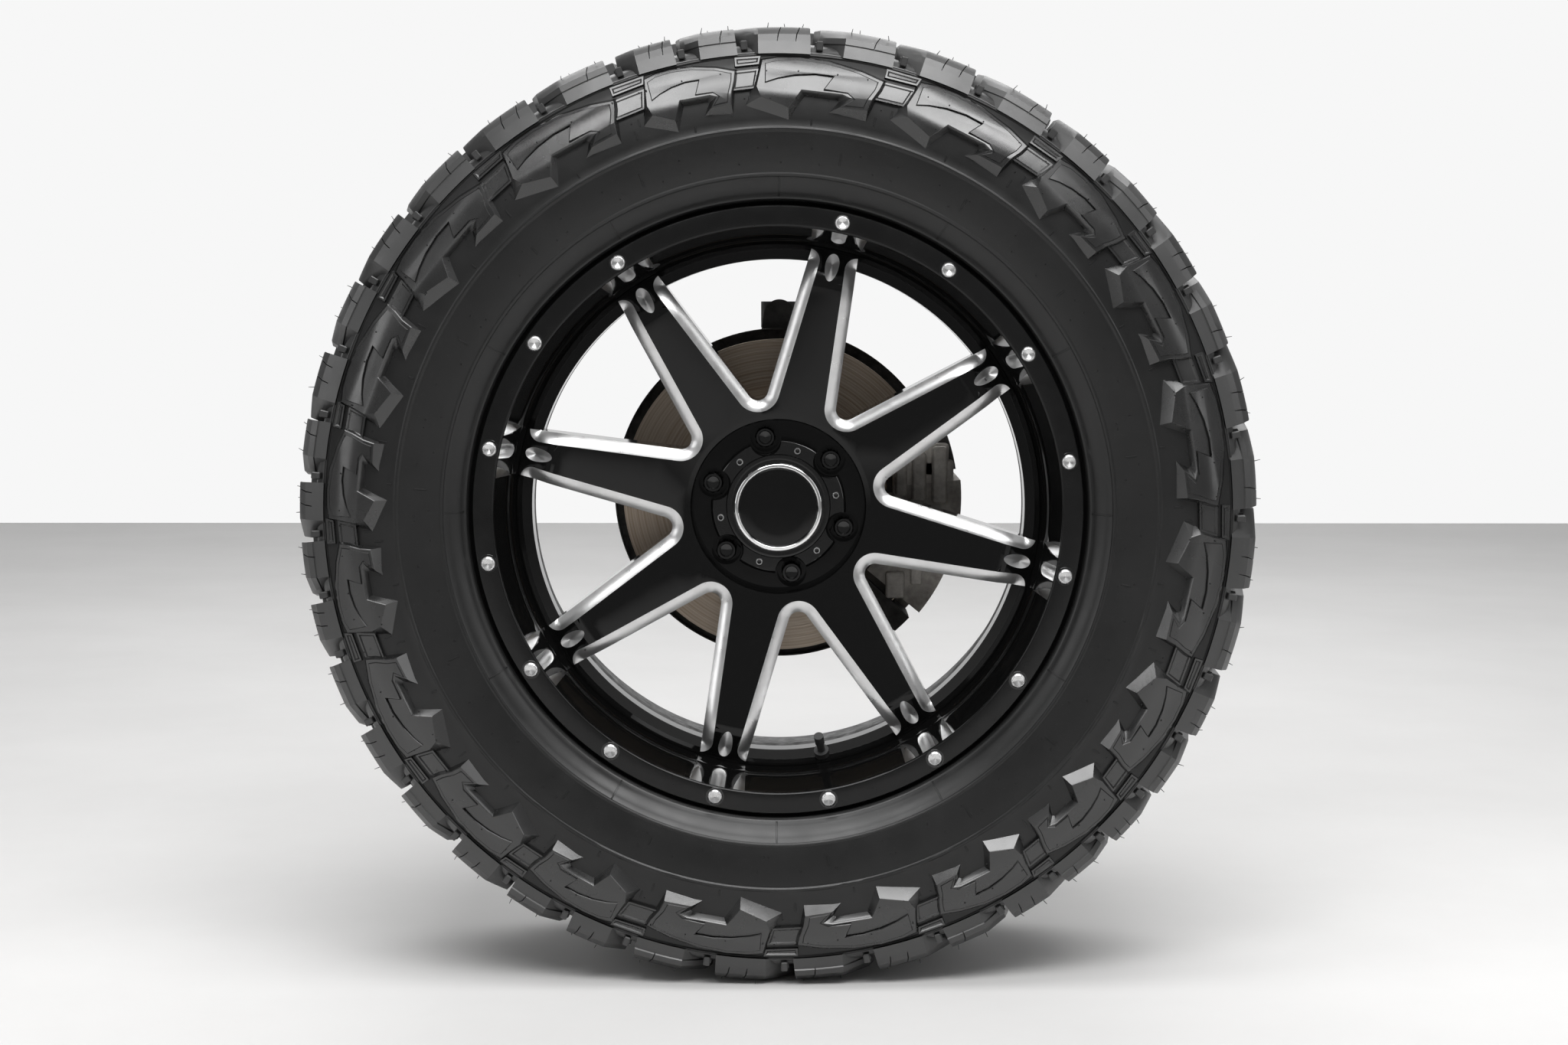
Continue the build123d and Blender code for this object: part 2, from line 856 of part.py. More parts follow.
# ---------------------------------------------------------------- bearing and shield
bearing_bore_radius = spindle_radius + running_clearance
bearing_bolt_angles = [
    first_bearing_bolt_angle + i * 360 / bearing_bolt_count for i in range(bearing_bolt_count)
]
with BuildPart() as wheel_bearing:
    add(
        turned(
            [
                (bearing_bore_radius, bearing_front_depth),
                (bearing_radius, bearing_front_depth),
                (bearing_radius, bearing_flange_depth),
                (bearing_flange_radius, bearing_flange_depth),
                (bearing_flange_radius, shield_depth),
                (bearing_radius, shield_depth),
                (bearing_radius, bearing_end_depth),
                (bearing_bore_radius, bearing_end_depth),
            ]
        )
    )
    add(
        pins(
            bearing_bolt_radius,
            bearing_bolt_circle_radius,
            bearing_bolt_angles,
            bearing_flange_depth,
            shield_depth,
        ),
        mode=Mode.SUBTRACT,
    )
save(wheel_bearing, "wheel_bearing")

shield_bore_radius = bearing_radius + running_clearance
shield_inside_radius = shield_radius - shield_thickness
shield_rim_depth = shield_depth - shield_rim_height
with BuildPart() as brake_shield:
    add(
        turned(
            [
                (shield_bore_radius, shield_depth),
                (shield_inside_radius, shield_depth),
                (shield_inside_radius, shield_rim_depth),
                (shield_radius, shield_rim_depth),
                (shield_radius, knuckle_depth),
                (shield_bore_radius, knuckle_depth),
            ]
        )
    )
    add(
        sector_block(
            shield_cutout_radius,
            shield_radius + shield_thickness,
            caliper_angle - shield_cutout_half_angle,
            caliper_angle + shield_cutout_half_angle,
            shield_rim_depth,
            knuckle_depth,
        ),
        mode=Mode.SUBTRACT,
    )
    add(
        pins(
            bearing_bolt_radius,
            bearing_bolt_circle_radius,
            bearing_bolt_angles,
            shield_depth,
            knuckle_depth,
        ),
        mode=Mode.SUBTRACT,
    )
save(brake_shield, "brake_shield")

with BuildPart() as bearing_bolts:
    add(
        pins(
            bearing_bolt_radius,
            bearing_bolt_circle_radius,
            bearing_bolt_angles,
            bearing_flange_depth,
            bearing_end_depth,
        )
    )
    add(
        pins(
            bearing_bolt_radius * bolt_head_ratio,
            bearing_bolt_circle_radius,
            bearing_bolt_angles,
            bearing_end_depth,
            bearing_end_depth + bolt_head_height,
        )
    )
save(bearing_bolts, "bearing_bolts")

# ---------------------------------------------------------------- knuckle
tie_rod_point = (-tie_rod_reach, -tie_rod_drop)
ear_angles = [caliper_angle - mount_ear_angle, caliper_angle + mount_ear_angle]
arm_depth = bearing_end_depth - arm_thickness
joint_places = (
    (
        (0, -axle_height),
        lower_joint_boss_radius,
        lower_joint_boss_length,
        lower_joint_bore_radius,
    ),
    (
        (0, upper_joint_height),
        upper_joint_boss_radius,
        upper_joint_boss_length,
        upper_joint_bore_radius,
    ),
    (tie_rod_point, tie_rod_boss_radius, tie_rod_boss_length, tie_rod_bore_radius),
)


def arm(start, start_radius, end, end_radius, front, thickness):
    """A cast arm whose outline wraps two circles on a wheel plane."""
    with BuildPart() as casting:
        with BuildSketch(wheel_plane(front)):
            with Locations(start):
                Circle(start_radius)
            with Locations(end):
                Circle(end_radius)
            make_hull()
        extrude(amount=-thickness)
    return casting.part


with BuildPart() as knuckle:
    add(
        turned(
            [
                (bearing_radius, knuckle_depth),
                (knuckle_ring_radius, knuckle_depth),
                (knuckle_ring_radius, bearing_end_depth),
                (bearing_radius, bearing_end_depth),
            ]
        )
    )
    for (x, z), boss_radius, length, bore_radius in joint_places:
        root = (x * arm_root_share, z * arm_root_share)
        tip_radius = boss_radius - arm_tip_inset
        add(arm(root, arm_root_radius, (x, z), tip_radius, arm_depth, arm_thickness))
    for angle in ear_angles:
        add(
            arm(
                clock(knuckle_ring_radius - mount_ear_radius, angle),
                mount_ear_radius,
                clock(mount_ear_circle_radius, angle),
                mount_ear_radius,
                ear_depth,
                bearing_end_depth - ear_depth,
            )
        )
    # Joint bosses stand along Z, each with its bore
    for (x, z), boss_radius, length, bore_radius in joint_places:
        with Locations((x, 0, axle_height + z)):
            Cylinder(boss_radius, length)
    for (x, z), boss_radius, length, bore_radius in joint_places:
        with Locations((x, 0, axle_height + z)):
            Cylinder(bore_radius, length, mode=Mode.SUBTRACT)
    # Bearing seat and bolt holes
    add(
        pins(bearing_radius, 0, [0], knuckle_depth, bearing_end_depth),
        mode=Mode.SUBTRACT,
    )
    add(
        pins(
            bearing_bolt_radius,
            bearing_bolt_circle_radius,
            bearing_bolt_angles,
            knuckle_depth,
            bearing_end_depth,
        ),
        mode=Mode.SUBTRACT,
    )
    add(
        pins(mount_bolt_radius, mount_ear_circle_radius, ear_angles, ear_depth, bearing_end_depth),
        mode=Mode.SUBTRACT,
    )
save(knuckle, "knuckle")

# ---------------------------------------------------------------- caliper bracket
pin_angles = [caliper_angle - guide_pin_angle, caliper_angle + guide_pin_angle]
outer_pad_depth = disc_face_depth - pad_clearance - lining_thickness - backing_thickness
inner_pad_depth = disc_back_depth + pad_clearance
hook_depth = outer_pad_depth - hook_overhang
hook_end_depth = disc_face_depth - hook_clearance
bracket_end_depth = shield_depth + bracket_thickness
with BuildPart() as caliper_bracket:
    for side in (-1, 1):
        near = caliper_angle + side * bracket_gap_angle
        far = caliper_angle + side * bracket_half_angle
        for inner, front, back in (
            (bracket_beam_inner_radius, shield_depth, bracket_end_depth),
            (leg_radius, hook_depth, shield_depth),
            (hook_inner_radius, hook_depth, hook_end_depth),
        ):
            add(sector_block(inner, bracket_outer_radius, near, far, front, back))
    add(
        sector_block(
            bracket_beam_inner_radius,
            bracket_beam_outer_radius,
            caliper_angle - bracket_half_angle,
            caliper_angle + bracket_half_angle,
            shield_depth,
            bracket_end_depth,
        )
    )
    # Mounting bolt holes and guide pin holes
    add(
        pins(
            mount_bolt_radius,
            mount_ear_circle_radius,
            ear_angles,
            shield_depth,
            bracket_end_depth,
        ),
        mode=Mode.SUBTRACT,
    )
    add(
        pins(
            guide_pin_radius,
            guide_pin_circle_radius,
            pin_angles,
            shield_depth,
            bracket_end_depth,
        ),
        mode=Mode.SUBTRACT,
    )
save(caliper_bracket, "caliper_bracket")

with BuildPart() as bracket_bolts:
    add(
        pins(
            mount_bolt_radius,
            mount_ear_circle_radius,
            ear_angles,
            shield_depth,
            bearing_end_depth,
        )
    )
    add(
        pins(
            mount_bolt_head_radius,
            mount_ear_circle_radius,
            ear_angles,
            bearing_end_depth,
            bearing_end_depth + bolt_head_height,
        )
    )
save(bracket_bolts, "bracket_bolts")

# ---------------------------------------------------------------- caliper and pads
guide_ear_depth = bracket_end_depth + guide_ear_clearance
guide_ear_end = guide_ear_depth + guide_ear_thickness
housing_depth = inner_pad_depth + lining_thickness + backing_thickness + piston_stroke_left
housing_end_depth = housing_depth + housing_length
finger_depth = outer_pad_depth - finger_thickness
caliper_start = caliper_angle - caliper_half_angle
caliper_end = caliper_angle + caliper_half_angle
piston_angles = [caliper_angle - piston_half_angle, caliper_angle + piston_half_angle]
piston_bottom_depth = housing_end_depth - piston_floor
with BuildPart() as caliper_body:
    for inner, start, end, front, back in (
        (caliper_housing_radius, caliper_start, caliper_end, housing_depth, housing_end_depth),
        (caliper_bridge_radius, caliper_start, caliper_end, finger_depth, housing_depth),
        (finger_radius, caliper_start, caliper_end, finger_depth, outer_pad_depth),
    ):
        add(sector_block(inner, caliper_outer_radius, start, end, front, back))
    # The outboard wall is split into two fingers
    add(
        sector_block(
            finger_radius - finger_gap_overrun,
            caliper_bridge_radius - finger_gap_inset,
            caliper_angle - finger_gap_half_angle,
            caliper_angle + finger_gap_half_angle,
            finger_depth,
            outer_pad_depth,
        ),
        mode=Mode.SUBTRACT,
    )
    # Ears for the guide pins
    add(
        sector_block(
            guide_pin_circle_radius - guide_ear_half_height,
            guide_pin_circle_radius + guide_ear_half_height,
            caliper_angle - guide_pin_angle - guide_ear_reach_angle,
            caliper_angle + guide_pin_angle + guide_ear_reach_angle,
            guide_ear_depth,
            guide_ear_end,
        )
    )
    add(
        pins(
            guide_pin_radius,
            guide_pin_circle_radius,
            pin_angles,
            guide_ear_depth,
            guide_ear_end,
        ),
        mode=Mode.SUBTRACT,
    )
    # Piston bores and the brake hose port
    add(
        pins(
            piston_radius + piston_clearance,
            piston_circle_radius,
            piston_angles,
            housing_depth,
            piston_bottom_depth,
        ),
        mode=Mode.SUBTRACT,
    )
    add(
        pins(
            hose_port_radius,
            caliper_outer_radius - hose_port_inset,
            [caliper_angle],
            housing_end_depth - hose_port_length,
            housing_end_depth,
        ),
        mode=Mode.SUBTRACT,
    )
save(caliper_body, "caliper_body")

with BuildPart() as caliper_pistons:
    add(
        pins(
            piston_radius,
            piston_circle_radius,
            piston_angles,
            housing_depth - piston_stroke_left,
            piston_bottom_depth,
        )
    )
save(caliper_pistons, "caliper_pistons")

with BuildPart() as guide_pins:
    add(
        pins(
            guide_pin_radius,
            guide_pin_circle_radius,
            pin_angles,
            shield_depth,
            guide_ear_end,
        )
    )
    add(
        pins(
            guide_pin_radius * bolt_head_ratio,
            guide_pin_circle_radius,
            pin_angles,
            guide_ear_end,
            guide_ear_end + bolt_head_height,
        )
    )
save(guide_pins, "guide_pins")


def pad(backing_front, lining_front):
    """A brake pad: a steel backing plate with its lining."""
    with BuildPart() as shoe:
        for half_angle, front, thickness in (
            (backing_half_angle, backing_front, backing_thickness),
            (lining_half_angle, lining_front, lining_thickness),
        ):
            add(
                sector_block(
                    pad_inner_radius,
                    pad_outer_radius,
                    caliper_angle - half_angle,
                    caliper_angle + half_angle,
                    front,
                    front + thickness,
                )
            )
    return shoe


outer_pad = pad(outer_pad_depth, outer_pad_depth + backing_thickness)
save(outer_pad, "outer_pad")

inner_pad = pad(inner_pad_depth + lining_thickness, inner_pad_depth)
save(inner_pad, "inner_pad")

# ---------------------------------------------------------------- balance weight
weight_half_angle = degrees(weight_length / 2 / barrel_radius)
with BuildPart() as balance_weight:
    add(
        sector_block(
            barrel_radius - weight_thickness,
            barrel_radius,
            weight_angle - weight_half_angle,
            weight_angle + weight_half_angle,
            weight_depth,
            weight_depth + weight_width,
        )
    )
save(balance_weight, "balance_weight")
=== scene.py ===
import json
import random
from math import acos, asin, atan2, copysign, cos, degrees, pi, radians, sin, sqrt, tau
import bpy
import bmesh
from mathutils import Matrix, Vector


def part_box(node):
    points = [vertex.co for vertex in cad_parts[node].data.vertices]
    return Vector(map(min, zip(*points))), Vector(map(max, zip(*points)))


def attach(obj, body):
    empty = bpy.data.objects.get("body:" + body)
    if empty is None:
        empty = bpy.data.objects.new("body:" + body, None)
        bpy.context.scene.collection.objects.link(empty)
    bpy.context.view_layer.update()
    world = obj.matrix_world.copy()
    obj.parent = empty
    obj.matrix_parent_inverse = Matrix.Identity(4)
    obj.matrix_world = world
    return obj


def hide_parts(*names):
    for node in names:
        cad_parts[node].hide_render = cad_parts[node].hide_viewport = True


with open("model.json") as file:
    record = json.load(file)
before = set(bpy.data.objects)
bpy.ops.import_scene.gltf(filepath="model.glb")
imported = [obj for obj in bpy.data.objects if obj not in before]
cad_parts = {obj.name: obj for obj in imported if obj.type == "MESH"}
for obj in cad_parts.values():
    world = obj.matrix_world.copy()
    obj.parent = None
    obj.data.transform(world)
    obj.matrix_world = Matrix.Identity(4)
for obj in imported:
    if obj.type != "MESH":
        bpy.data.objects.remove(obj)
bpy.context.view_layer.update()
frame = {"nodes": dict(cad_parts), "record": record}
joints = {joint["name"]: joint for joint in frame["record"]["behaviour"]["joints"]}
axle = Vector(joints["wheel_spin"]["pos_m"])
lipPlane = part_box("alloy_wheel")[0].y
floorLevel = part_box("tyre")[0].z
print("frame loaded, lip plane at", round(lipPlane, 4))

# Wheel space is in mm: x to the right and y up as seen from outside, z out of the lip plane.
toRow = (
    Matrix.Translation((axle.x, lipPlane, axle.z))
    @ Matrix.Rotation(radians(90), 4, "X")
    @ Matrix.Scale(0.001, 4)
)


def clock(radius, angle, depth):
    # a place by its turn from the top, clockwise in degrees, and its depth behind the lip plane
    turn = radians(angle)
    return Vector((radius * sin(turn), radius * cos(turn), -depth))


def mix(low, high, share):
    return low + (high - low) * share


def between(value, table):
    # straight-line reading of a table of (value, reading) pairs
    for (v0, r0), (v1, r1) in zip(table, table[1:]):
        if value <= v1:
            return mix(r0, r1, max(0, (value - v0) / (v1 - v0)))
    return table[-1][1]


def spread(count, first=0.0):
    return [first + i * 360 / count for i in range(count)]


def turned(angle):
    return Matrix.Rotation(radians(-angle), 4, "Z")


def everything(bm):
    return bm.verts[:] + bm.edges[:] + bm.faces[:]


def vertsIn(items):
    return [item for item in items if isinstance(item, bmesh.types.BMVert)]


def cutAt(bm, place, way):
    bmesh.ops.bisect_plane(bm, geom=everything(bm), plane_co=place, plane_no=way)


def chain(bm, places, closed=False):
    corners = [bm.verts.new(place) for place in places]
    for first, second in zip(corners, corners[1:]):
        bm.edges.new((first, second))
    if closed:
        bm.edges.new((corners[-1], corners[0]))
    return corners


def drawFlat(bm, places):
    chain(bm, [(*place, 0) for place in places], True)


def tube(profile, turns):
    # rows for a loft round the axis, one for each (radius, depth)
    return [[clock(radius, turn, depth) for turn in turns] for radius, depth in profile]


def loft(bm, rows, closed=False, material=0):
    # the first row is drawn, and each later one is extruded from the row before
    ring = chain(bm, rows[0], closed)
    edges = [bm.edges.get(pair) for pair in zip(ring, ring[1:])]
    if closed:
        edges.append(bm.edges.get((ring[-1], ring[0])))
    for places in rows[1:]:
        known = set(bm.faces)
        grown = bmesh.ops.extrude_edge_only(bm, edges=edges)["geom"]
        fresh = set(vertsIn(grown))
        edges = [item for item in grown if isinstance(item, bmesh.types.BMEdge)
                 and all(end in fresh for end in item.verts)]
        pairs = {}
        for vertex in fresh:
            for edge in vertex.link_edges:
                other = edge.other_vert(vertex)
                if other not in fresh:
                    pairs[other] = vertex
        ring = [pairs[old] for old in ring]
        for vertex, place in zip(ring, places):
            vertex.co = place
        for face in set(bm.faces) - known:
            face.material_index = material
    return ring


def fill(bm, material=0):
    # flat faces between all the outlines drawn so far
    made = bmesh.ops.triangle_fill(bm, use_beauty=True, use_dissolve=False, edges=bm.edges[:])
    for item in made["geom"]:
        if isinstance(item, bmesh.types.BMFace):
            item.material_index = material


def join(bm, part):
    # brings another mesh in and frees it
    holder = bpy.data.meshes.new("holder")
    part.to_mesh(holder)
    part.free()
    bm.from_mesh(holder)
    bpy.data.meshes.remove(holder)


def lathe(bm, profile, steps, segments=3, material=0):
    # profile corners are (radius, depth, rounding) and make a closed ring section
    section = bmesh.new()
    corners = chain(section, [(radius, 0, -depth) for radius, depth, rounding in profile], True)
    wanted = [rounding for radius, depth, rounding in profile]
    for amount in sorted(set(wanted) - {0}):
        chosen = [corner for corner, own in zip(corners, wanted) if own == amount]
        bmesh.ops.bevel(section, geom=chosen, offset=amount, segments=segments, profile=0.5,
                        affect="VERTICES", material=-1)
    bmesh.ops.spin(section, geom=section.verts[:] + section.edges[:], cent=(0, 0, 0),
                   axis=(0, 0, -1), angle=tau, steps=steps, use_merge=True)
    bmesh.ops.remove_doubles(section, verts=section.verts, dist=0.001)
    bmesh.ops.recalc_face_normals(section, faces=section.faces)
    for face in section.faces:
        face.material_index = material
    join(bm, section)


def block(size, edge, segments):
    # a cuboid about the origin with rounded edges
    part = bmesh.new()
    bmesh.ops.create_cube(part, size=1)
    bmesh.ops.scale(part, vec=size, verts=part.verts)
    bmesh.ops.bevel(part, geom=part.edges[:], offset=edge, offset_type="OFFSET", profile=0.5,
                    segments=segments, affect="EDGES", material=-1, clamp_overlap=True)
    return part


def cone(sides, radius, taper, depth):
    part = bmesh.new()
    bmesh.ops.create_cone(part, cap_ends=True, segments=sides, radius1=radius,
                          radius2=radius * taper, depth=depth)
    return part


def repeat(bm, angles):
    # copies of the whole mesh, turned clockwise about the wheel's axis
    source = everything(bm)
    for angle in angles[1:]:
        copy = bmesh.ops.duplicate(bm, geom=source)["geom"]
        bmesh.ops.transform(bm, matrix=turned(angle), verts=vertsIn(copy))
    bmesh.ops.transform(bm, matrix=turned(angles[0]), verts=vertsIn(source))


def atPlace(part, radius, angle, depth=0):
    bmesh.ops.translate(part, verts=part.verts, vec=(0, radius, -depth))
    bmesh.ops.transform(part, matrix=turned(angle), verts=part.verts)
    return part


def facedUp(face):
    face.normal_update()
    if face.normal.z < 0:
        face.normal_flip()
    return face


def step(bm, face, thickness, depth):
    # insets a face and raises or sinks the middle; the face given stays the middle one
    bmesh.ops.inset_region(bm, faces=[face], thickness=thickness, depth=depth,
                           use_even_offset=True, use_boundary=True)


def addObject(name, data):
    made = bpy.data.objects.new(name, data)
    bpy.context.scene.collection.objects.link(made)
    return made


def finishPiece(name, bm, materials, replaces=(), body="wheel", sharp=28, recalc=True):
    bmesh.ops.remove_doubles(bm, verts=bm.verts, dist=0.002)
    bmesh.ops.dissolve_degenerate(bm, edges=bm.edges, dist=0.0005)
    if recalc:
        bmesh.ops.recalc_face_normals(bm, faces=bm.faces)
    bmesh.ops.transform(bm, matrix=toRow, verts=bm.verts)
    mesh = bpy.data.meshes.new(name)
    bm.to_mesh(mesh)
    bm.free()
    for material in materials:
        mesh.materials.append(material)
    mesh.shade_smooth()
    mesh.set_sharp_from_angle(angle=radians(sharp))
    piece = addObject(name, mesh)
    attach(piece, body)
    if replaces:
        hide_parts(*replaces)
    print("made", name, len(mesh.polygons), "faces")


def addNode(tree, kind, inputs, **settings):
    # an input gets a number, a colour or another node's output
    made = tree.nodes.new("ShaderNode" + kind)
    for setting, value in settings.items():
        setattr(made, setting, value)
    for socket, value in inputs.items():
        if isinstance(value, bpy.types.NodeSocket):
            tree.links.new(value, made.inputs[socket])
        else:
            made.inputs[socket].default_value = value
    return made.outputs


class Finish:
    # one Principled material, with the nodes that vary its colour, gloss and surface
    def __init__(self, name, colour, roughness, metallic=0.0, specular=0.5):
        self.material = bpy.data.materials.new(name)
        self.material.use_nodes = True
        self.tree = self.material.node_tree
        self.shader = self.tree.nodes["Principled BSDF"]
        for socket, value in (("Base Color", (*colour, 1)), ("Roughness", roughness),
                              ("Metallic", metallic), ("Specular IOR Level", specular)):
            self.shader.inputs[socket].default_value = value
        self.place = self.node("TexCoord", {})["Object"]
        self.lastBump = None

    def node(self, kind, inputs, **settings):
        return addNode(self.tree, kind, inputs, **settings)

    def noise(self, scale, detail=4.0, roughness=0.6):
        return self.node("TexNoise", {"Vector": self.place, "Scale": scale, "Detail": detail,
                                      "Roughness": roughness})["Fac"]

    def rings(self, scale, detail=2.0):
        # fine circles about the wheel's axis: a noise that reads only the distance from it
        centred = self.node("Mapping", {"Vector": self.place, "Location": (-axle.x, 0, -axle.z)})
        flat = self.node("VectorMath", {0: centred[0], 1: (1, 0, 1)}, operation="MULTIPLY")
        far = self.node("VectorMath", {0: flat["Vector"]}, operation="LENGTH")
        return self.node("TexNoise", {"W": far["Value"], "Scale": scale, "Detail": detail},
                         noise_dimensions="1D")["Fac"]

    def ramp(self, source, *stops):
        # stops are (position, value), where a value is a number or a colour
        made = self.tree.nodes.new("ShaderNodeValToRGB")
        elements = made.color_ramp.elements
        while len(elements) < len(stops):
            elements.new(0.5)
        for element, (position, value) in zip(elements, stops):
            element.position = position
            element.color = (*value, 1) if isinstance(value, tuple) else (value, value, value, 1)
        self.tree.links.new(source, made.inputs["Fac"])
        return made.outputs["Color"]

    def show(self, output, socket):
        self.tree.links.new(output, self.shader.inputs[socket])

    def paint(self, source, *stops):
        self.show(self.ramp(source, *stops), "Base Color")

    def paintOver(self, share, first, second):
        # the second colour shows over the first where share is 1
        made = self.node("Mix", {0: share, 6: first, 7: (*second, 1)}, data_type="RGBA")
        self.show(made[2], "Base Color")

    def gloss(self, source, *stops):
        self.show(self.ramp(source, *stops), "Roughness")

    def bump(self, height, strength, distance):
        inputs = {"Height": height, "Strength": strength, "Distance": distance}
        if self.lastBump:
            inputs["Normal"] = self.lastBump
        self.lastBump = self.node("Bump", inputs)["Normal"]
        self.show(self.lastBump, "Normal")
        return self.material


def grey(value):
    # a grey given from 0 to 255, as on a screen, in the shader's linear values
    return (((value / 255 + 0.055) / 1.055) ** 2.4,) * 3


def glossBlackFinish():
    finish = Finish("glossBlack", grey(10), 0.08, specular=0.3)
    finish.gloss(finish.noise(9, 6), (0.35, 0.05), (0.75, 0.14))
    finish.paint(finish.noise(380, 2), (0.60, grey(9)), (0.80, grey(16)))
    return finish.bump(finish.noise(45, 2), 0.04, 0.0008)


def satinBlackFinish():
    finish = Finish("satinBlack", grey(14), 0.25, specular=0.3)
    finish.paint(finish.noise(14, 6), (0.3, grey(11)), (0.7, grey(17)))
    finish.gloss(finish.noise(60, 4), (0.3, 0.18), (0.7, 0.28))
    return finish.bump(finish.noise(900, 3), 0.12, 0.0003)


def castBlackFinish():
    finish = Finish("castBlack", grey(32), 0.5)
    finish.paint(finish.noise(40, 8), (0.3, grey(20)), (0.62, grey(44)), (0.8, grey(78)))
    finish.gloss(finish.noise(90, 4), (0.3, 0.35), (0.7, 0.6))
    return finish.bump(finish.noise(420, 4), 0.5, 0.0012)


def milledFinish():
    finish = Finish("milledAluminium", grey(215), 0.3, 1.0)
    finish.paint(finish.noise(22, 4), (0.25, grey(200)), (0.75, grey(224)))
    finish.gloss(finish.noise(90, 3), (0.3, 0.27), (0.7, 0.36))
    return finish.bump(finish.rings(700, 1), 0.03, 0.0002)


def boltFinish():
    finish = Finish("plainSteel", grey(205), 0.28, 1.0)
    finish.paint(finish.noise(120, 3), (0.3, grey(190)), (0.7, grey(222)))
    finish.gloss(finish.noise(200, 3), (0.3, 0.24), (0.7, 0.34))
    return finish.bump(finish.noise(900, 2), 0.04, 0.0002)


def chromeFinish():
    finish = Finish("chrome", grey(235), 0.06, 1.0)
    finish.gloss(finish.noise(70, 5), (0.35, 0.04), (0.75, 0.12))
    return finish.material


def rubberFinish(name, dark, light, smooth, rough, dusty, shine=0.5):
    # darkest and lightest grey, least and most roughness, grey of the dust
    finish = Finish(name, grey(dark), rough, specular=shine)
    blotches = finish.ramp(finish.noise(7, 6), (0.3, grey(dark)), (0.72, grey(light)))
    specks = finish.ramp(finish.noise(620, 2), (0.66, 0.0), (0.80, 1.0))
    finish.paintOver(specks, blotches, grey(dusty))
    finish.gloss(finish.noise(18, 6), (0.3, smooth), (0.7, rough))
    finish.bump(finish.noise(55, 4), 0.10, 0.001)
    return finish.bump(finish.noise(1300, 3), 0.07, 0.0002)


def discFinish():
    # turned iron: brown between fine pale circles
    finish = Finish("wornIron", grey(120), 0.38, 0.45)
    tint = finish.ramp(finish.noise(6, 5), (0.3, (0.44, 0.32, 0.22)), (0.7, (0.54, 0.44, 0.34)))
    circles = finish.ramp(finish.rings(420, 4), (0.35, 0.0), (0.65, 0.8))
    finish.paintOver(circles, tint, (0.70, 0.61, 0.51))
    finish.gloss(finish.rings(700, 3), (0.3, 0.28), (0.7, 0.48))
    return finish.bump(finish.rings(800, 3), 0.35, 0.0004)


def ironFinish(name, dark, light, rust, more, metallic=0.3):
    # more is how much further than usual the rust spreads
    finish = Finish(name, light, 0.7, metallic)
    base = finish.ramp(finish.noise(60, 8, 0.7), (0.3, dark), (0.7, light))
    spots = finish.ramp(finish.noise(150, 10, 0.75), (0.62 - more, 0.0), (0.74 - more, 1.0))
    finish.paintOver(spots, base, rust)
    finish.gloss(finish.noise(110, 4), (0.3, 0.5), (0.7, 0.85))
    finish.bump(finish.noise(160, 6), 0.4, 0.0015)
    return finish.bump(finish.noise(800, 3), 0.3, 0.0005)


def machinedFinish(name, dark, light, rough):
    finish = Finish(name, light, rough, 0.9)
    finish.paint(finish.noise(45, 7), (0.3, dark), (0.7, light))
    finish.gloss(finish.rings(600, 2), (0.3, rough - 0.08), (0.7, rough + 0.1))
    return finish.bump(finish.rings(900, 3), 0.2, 0.0003)


def plasticFinish():
    finish = Finish("capPlastic", grey(10), 0.1, specular=0.6)
    finish.gloss(finish.noise(30, 5), (0.3, 0.05), (0.7, 0.13))
    return finish.bump(finish.noise(700, 2), 0.03, 0.0003)


glossBlack = glossBlackFinish()
satinBlack = satinBlackFinish()
castBlack = castBlackFinish()
milled = milledFinish()
plainSteel = boltFinish()
chrome = chromeFinish()
sideRubber = rubberFinish("sideRubber", 15, 21, 0.30, 0.42, 44, 0.45)
clawRubber = rubberFinish("clawRubber", 16, 23, 0.20, 0.32, 50, 0.9)
treadRubber = rubberFinish("treadRubber", 24, 37, 0.34, 0.48, 62, 0.9)
wornIron = discFinish()
capPlastic = plasticFinish()
rustyIron = ironFinish("rustyIron", (0.24, 0.22, 0.20), (0.55, 0.52, 0.48),
                       (0.42, 0.30, 0.20), 0.02)
# a lighter copy of rustyIron for the caliper's ribs: painted light, since the ribs sit in the wheel's
# shade
caliperIronPaintedLight = ironFinish("caliperIronPaintedLight", (0.40, 0.37, 0.34), (0.74, 0.71, 0.66),
                         (0.50, 0.38, 0.27), -0.01)
blackIron = ironFinish("blackIron", (0.03, 0.028, 0.026), (0.085, 0.08, 0.075),
                       (0.14, 0.09, 0.055), -0.03)
castIron = ironFinish("castIron", (0.07, 0.068, 0.066), (0.14, 0.135, 0.13),
                      (0.16, 0.10, 0.06), -0.02)
shieldSteel = ironFinish("shieldSteel", (0.05, 0.048, 0.046), (0.10, 0.096, 0.09),
                         (0.14, 0.09, 0.06), -0.02, 0.6)
padSteel = ironFinish("padSteel", (0.05, 0.045, 0.04), (0.10, 0.09, 0.08),
                      (0.20, 0.10, 0.05), 0.03)
hubSteel = machinedFinish("hubSteel", grey(110), grey(160), 0.35)
stemRubber = rubberFinish("stemRubber", 34, 44, 0.4, 0.55, 70)
weightSteel = machinedFinish("weightSteel", grey(120), grey(175), 0.4)

# the CAD nodes that show as they are
cadFinishes = {
    "hub": hubSteel, "wheel_bearing": hubSteel, "brake_disc": wornIron, "brake_shield": shieldSteel,
    "knuckle": castIron, "caliper_bracket": blackIron, "caliper_body": rustyIron,
    "outer_pad": padSteel, "inner_pad": padSteel, "caliper_pistons": plainSteel,
    "guide_pins": plainSteel, "bracket_bolts": plainSteel, "bearing_bolts": plainSteel,
    "wheel_studs": plainSteel, "valve_stem": stemRubber, "balance_weight": weightSteel,
}
for nodeName, finish in cadFinishes.items():
    solid = frame["nodes"][nodeName]
    solid.data.materials.clear()
    solid.data.materials.append(finish)
print("materials made")

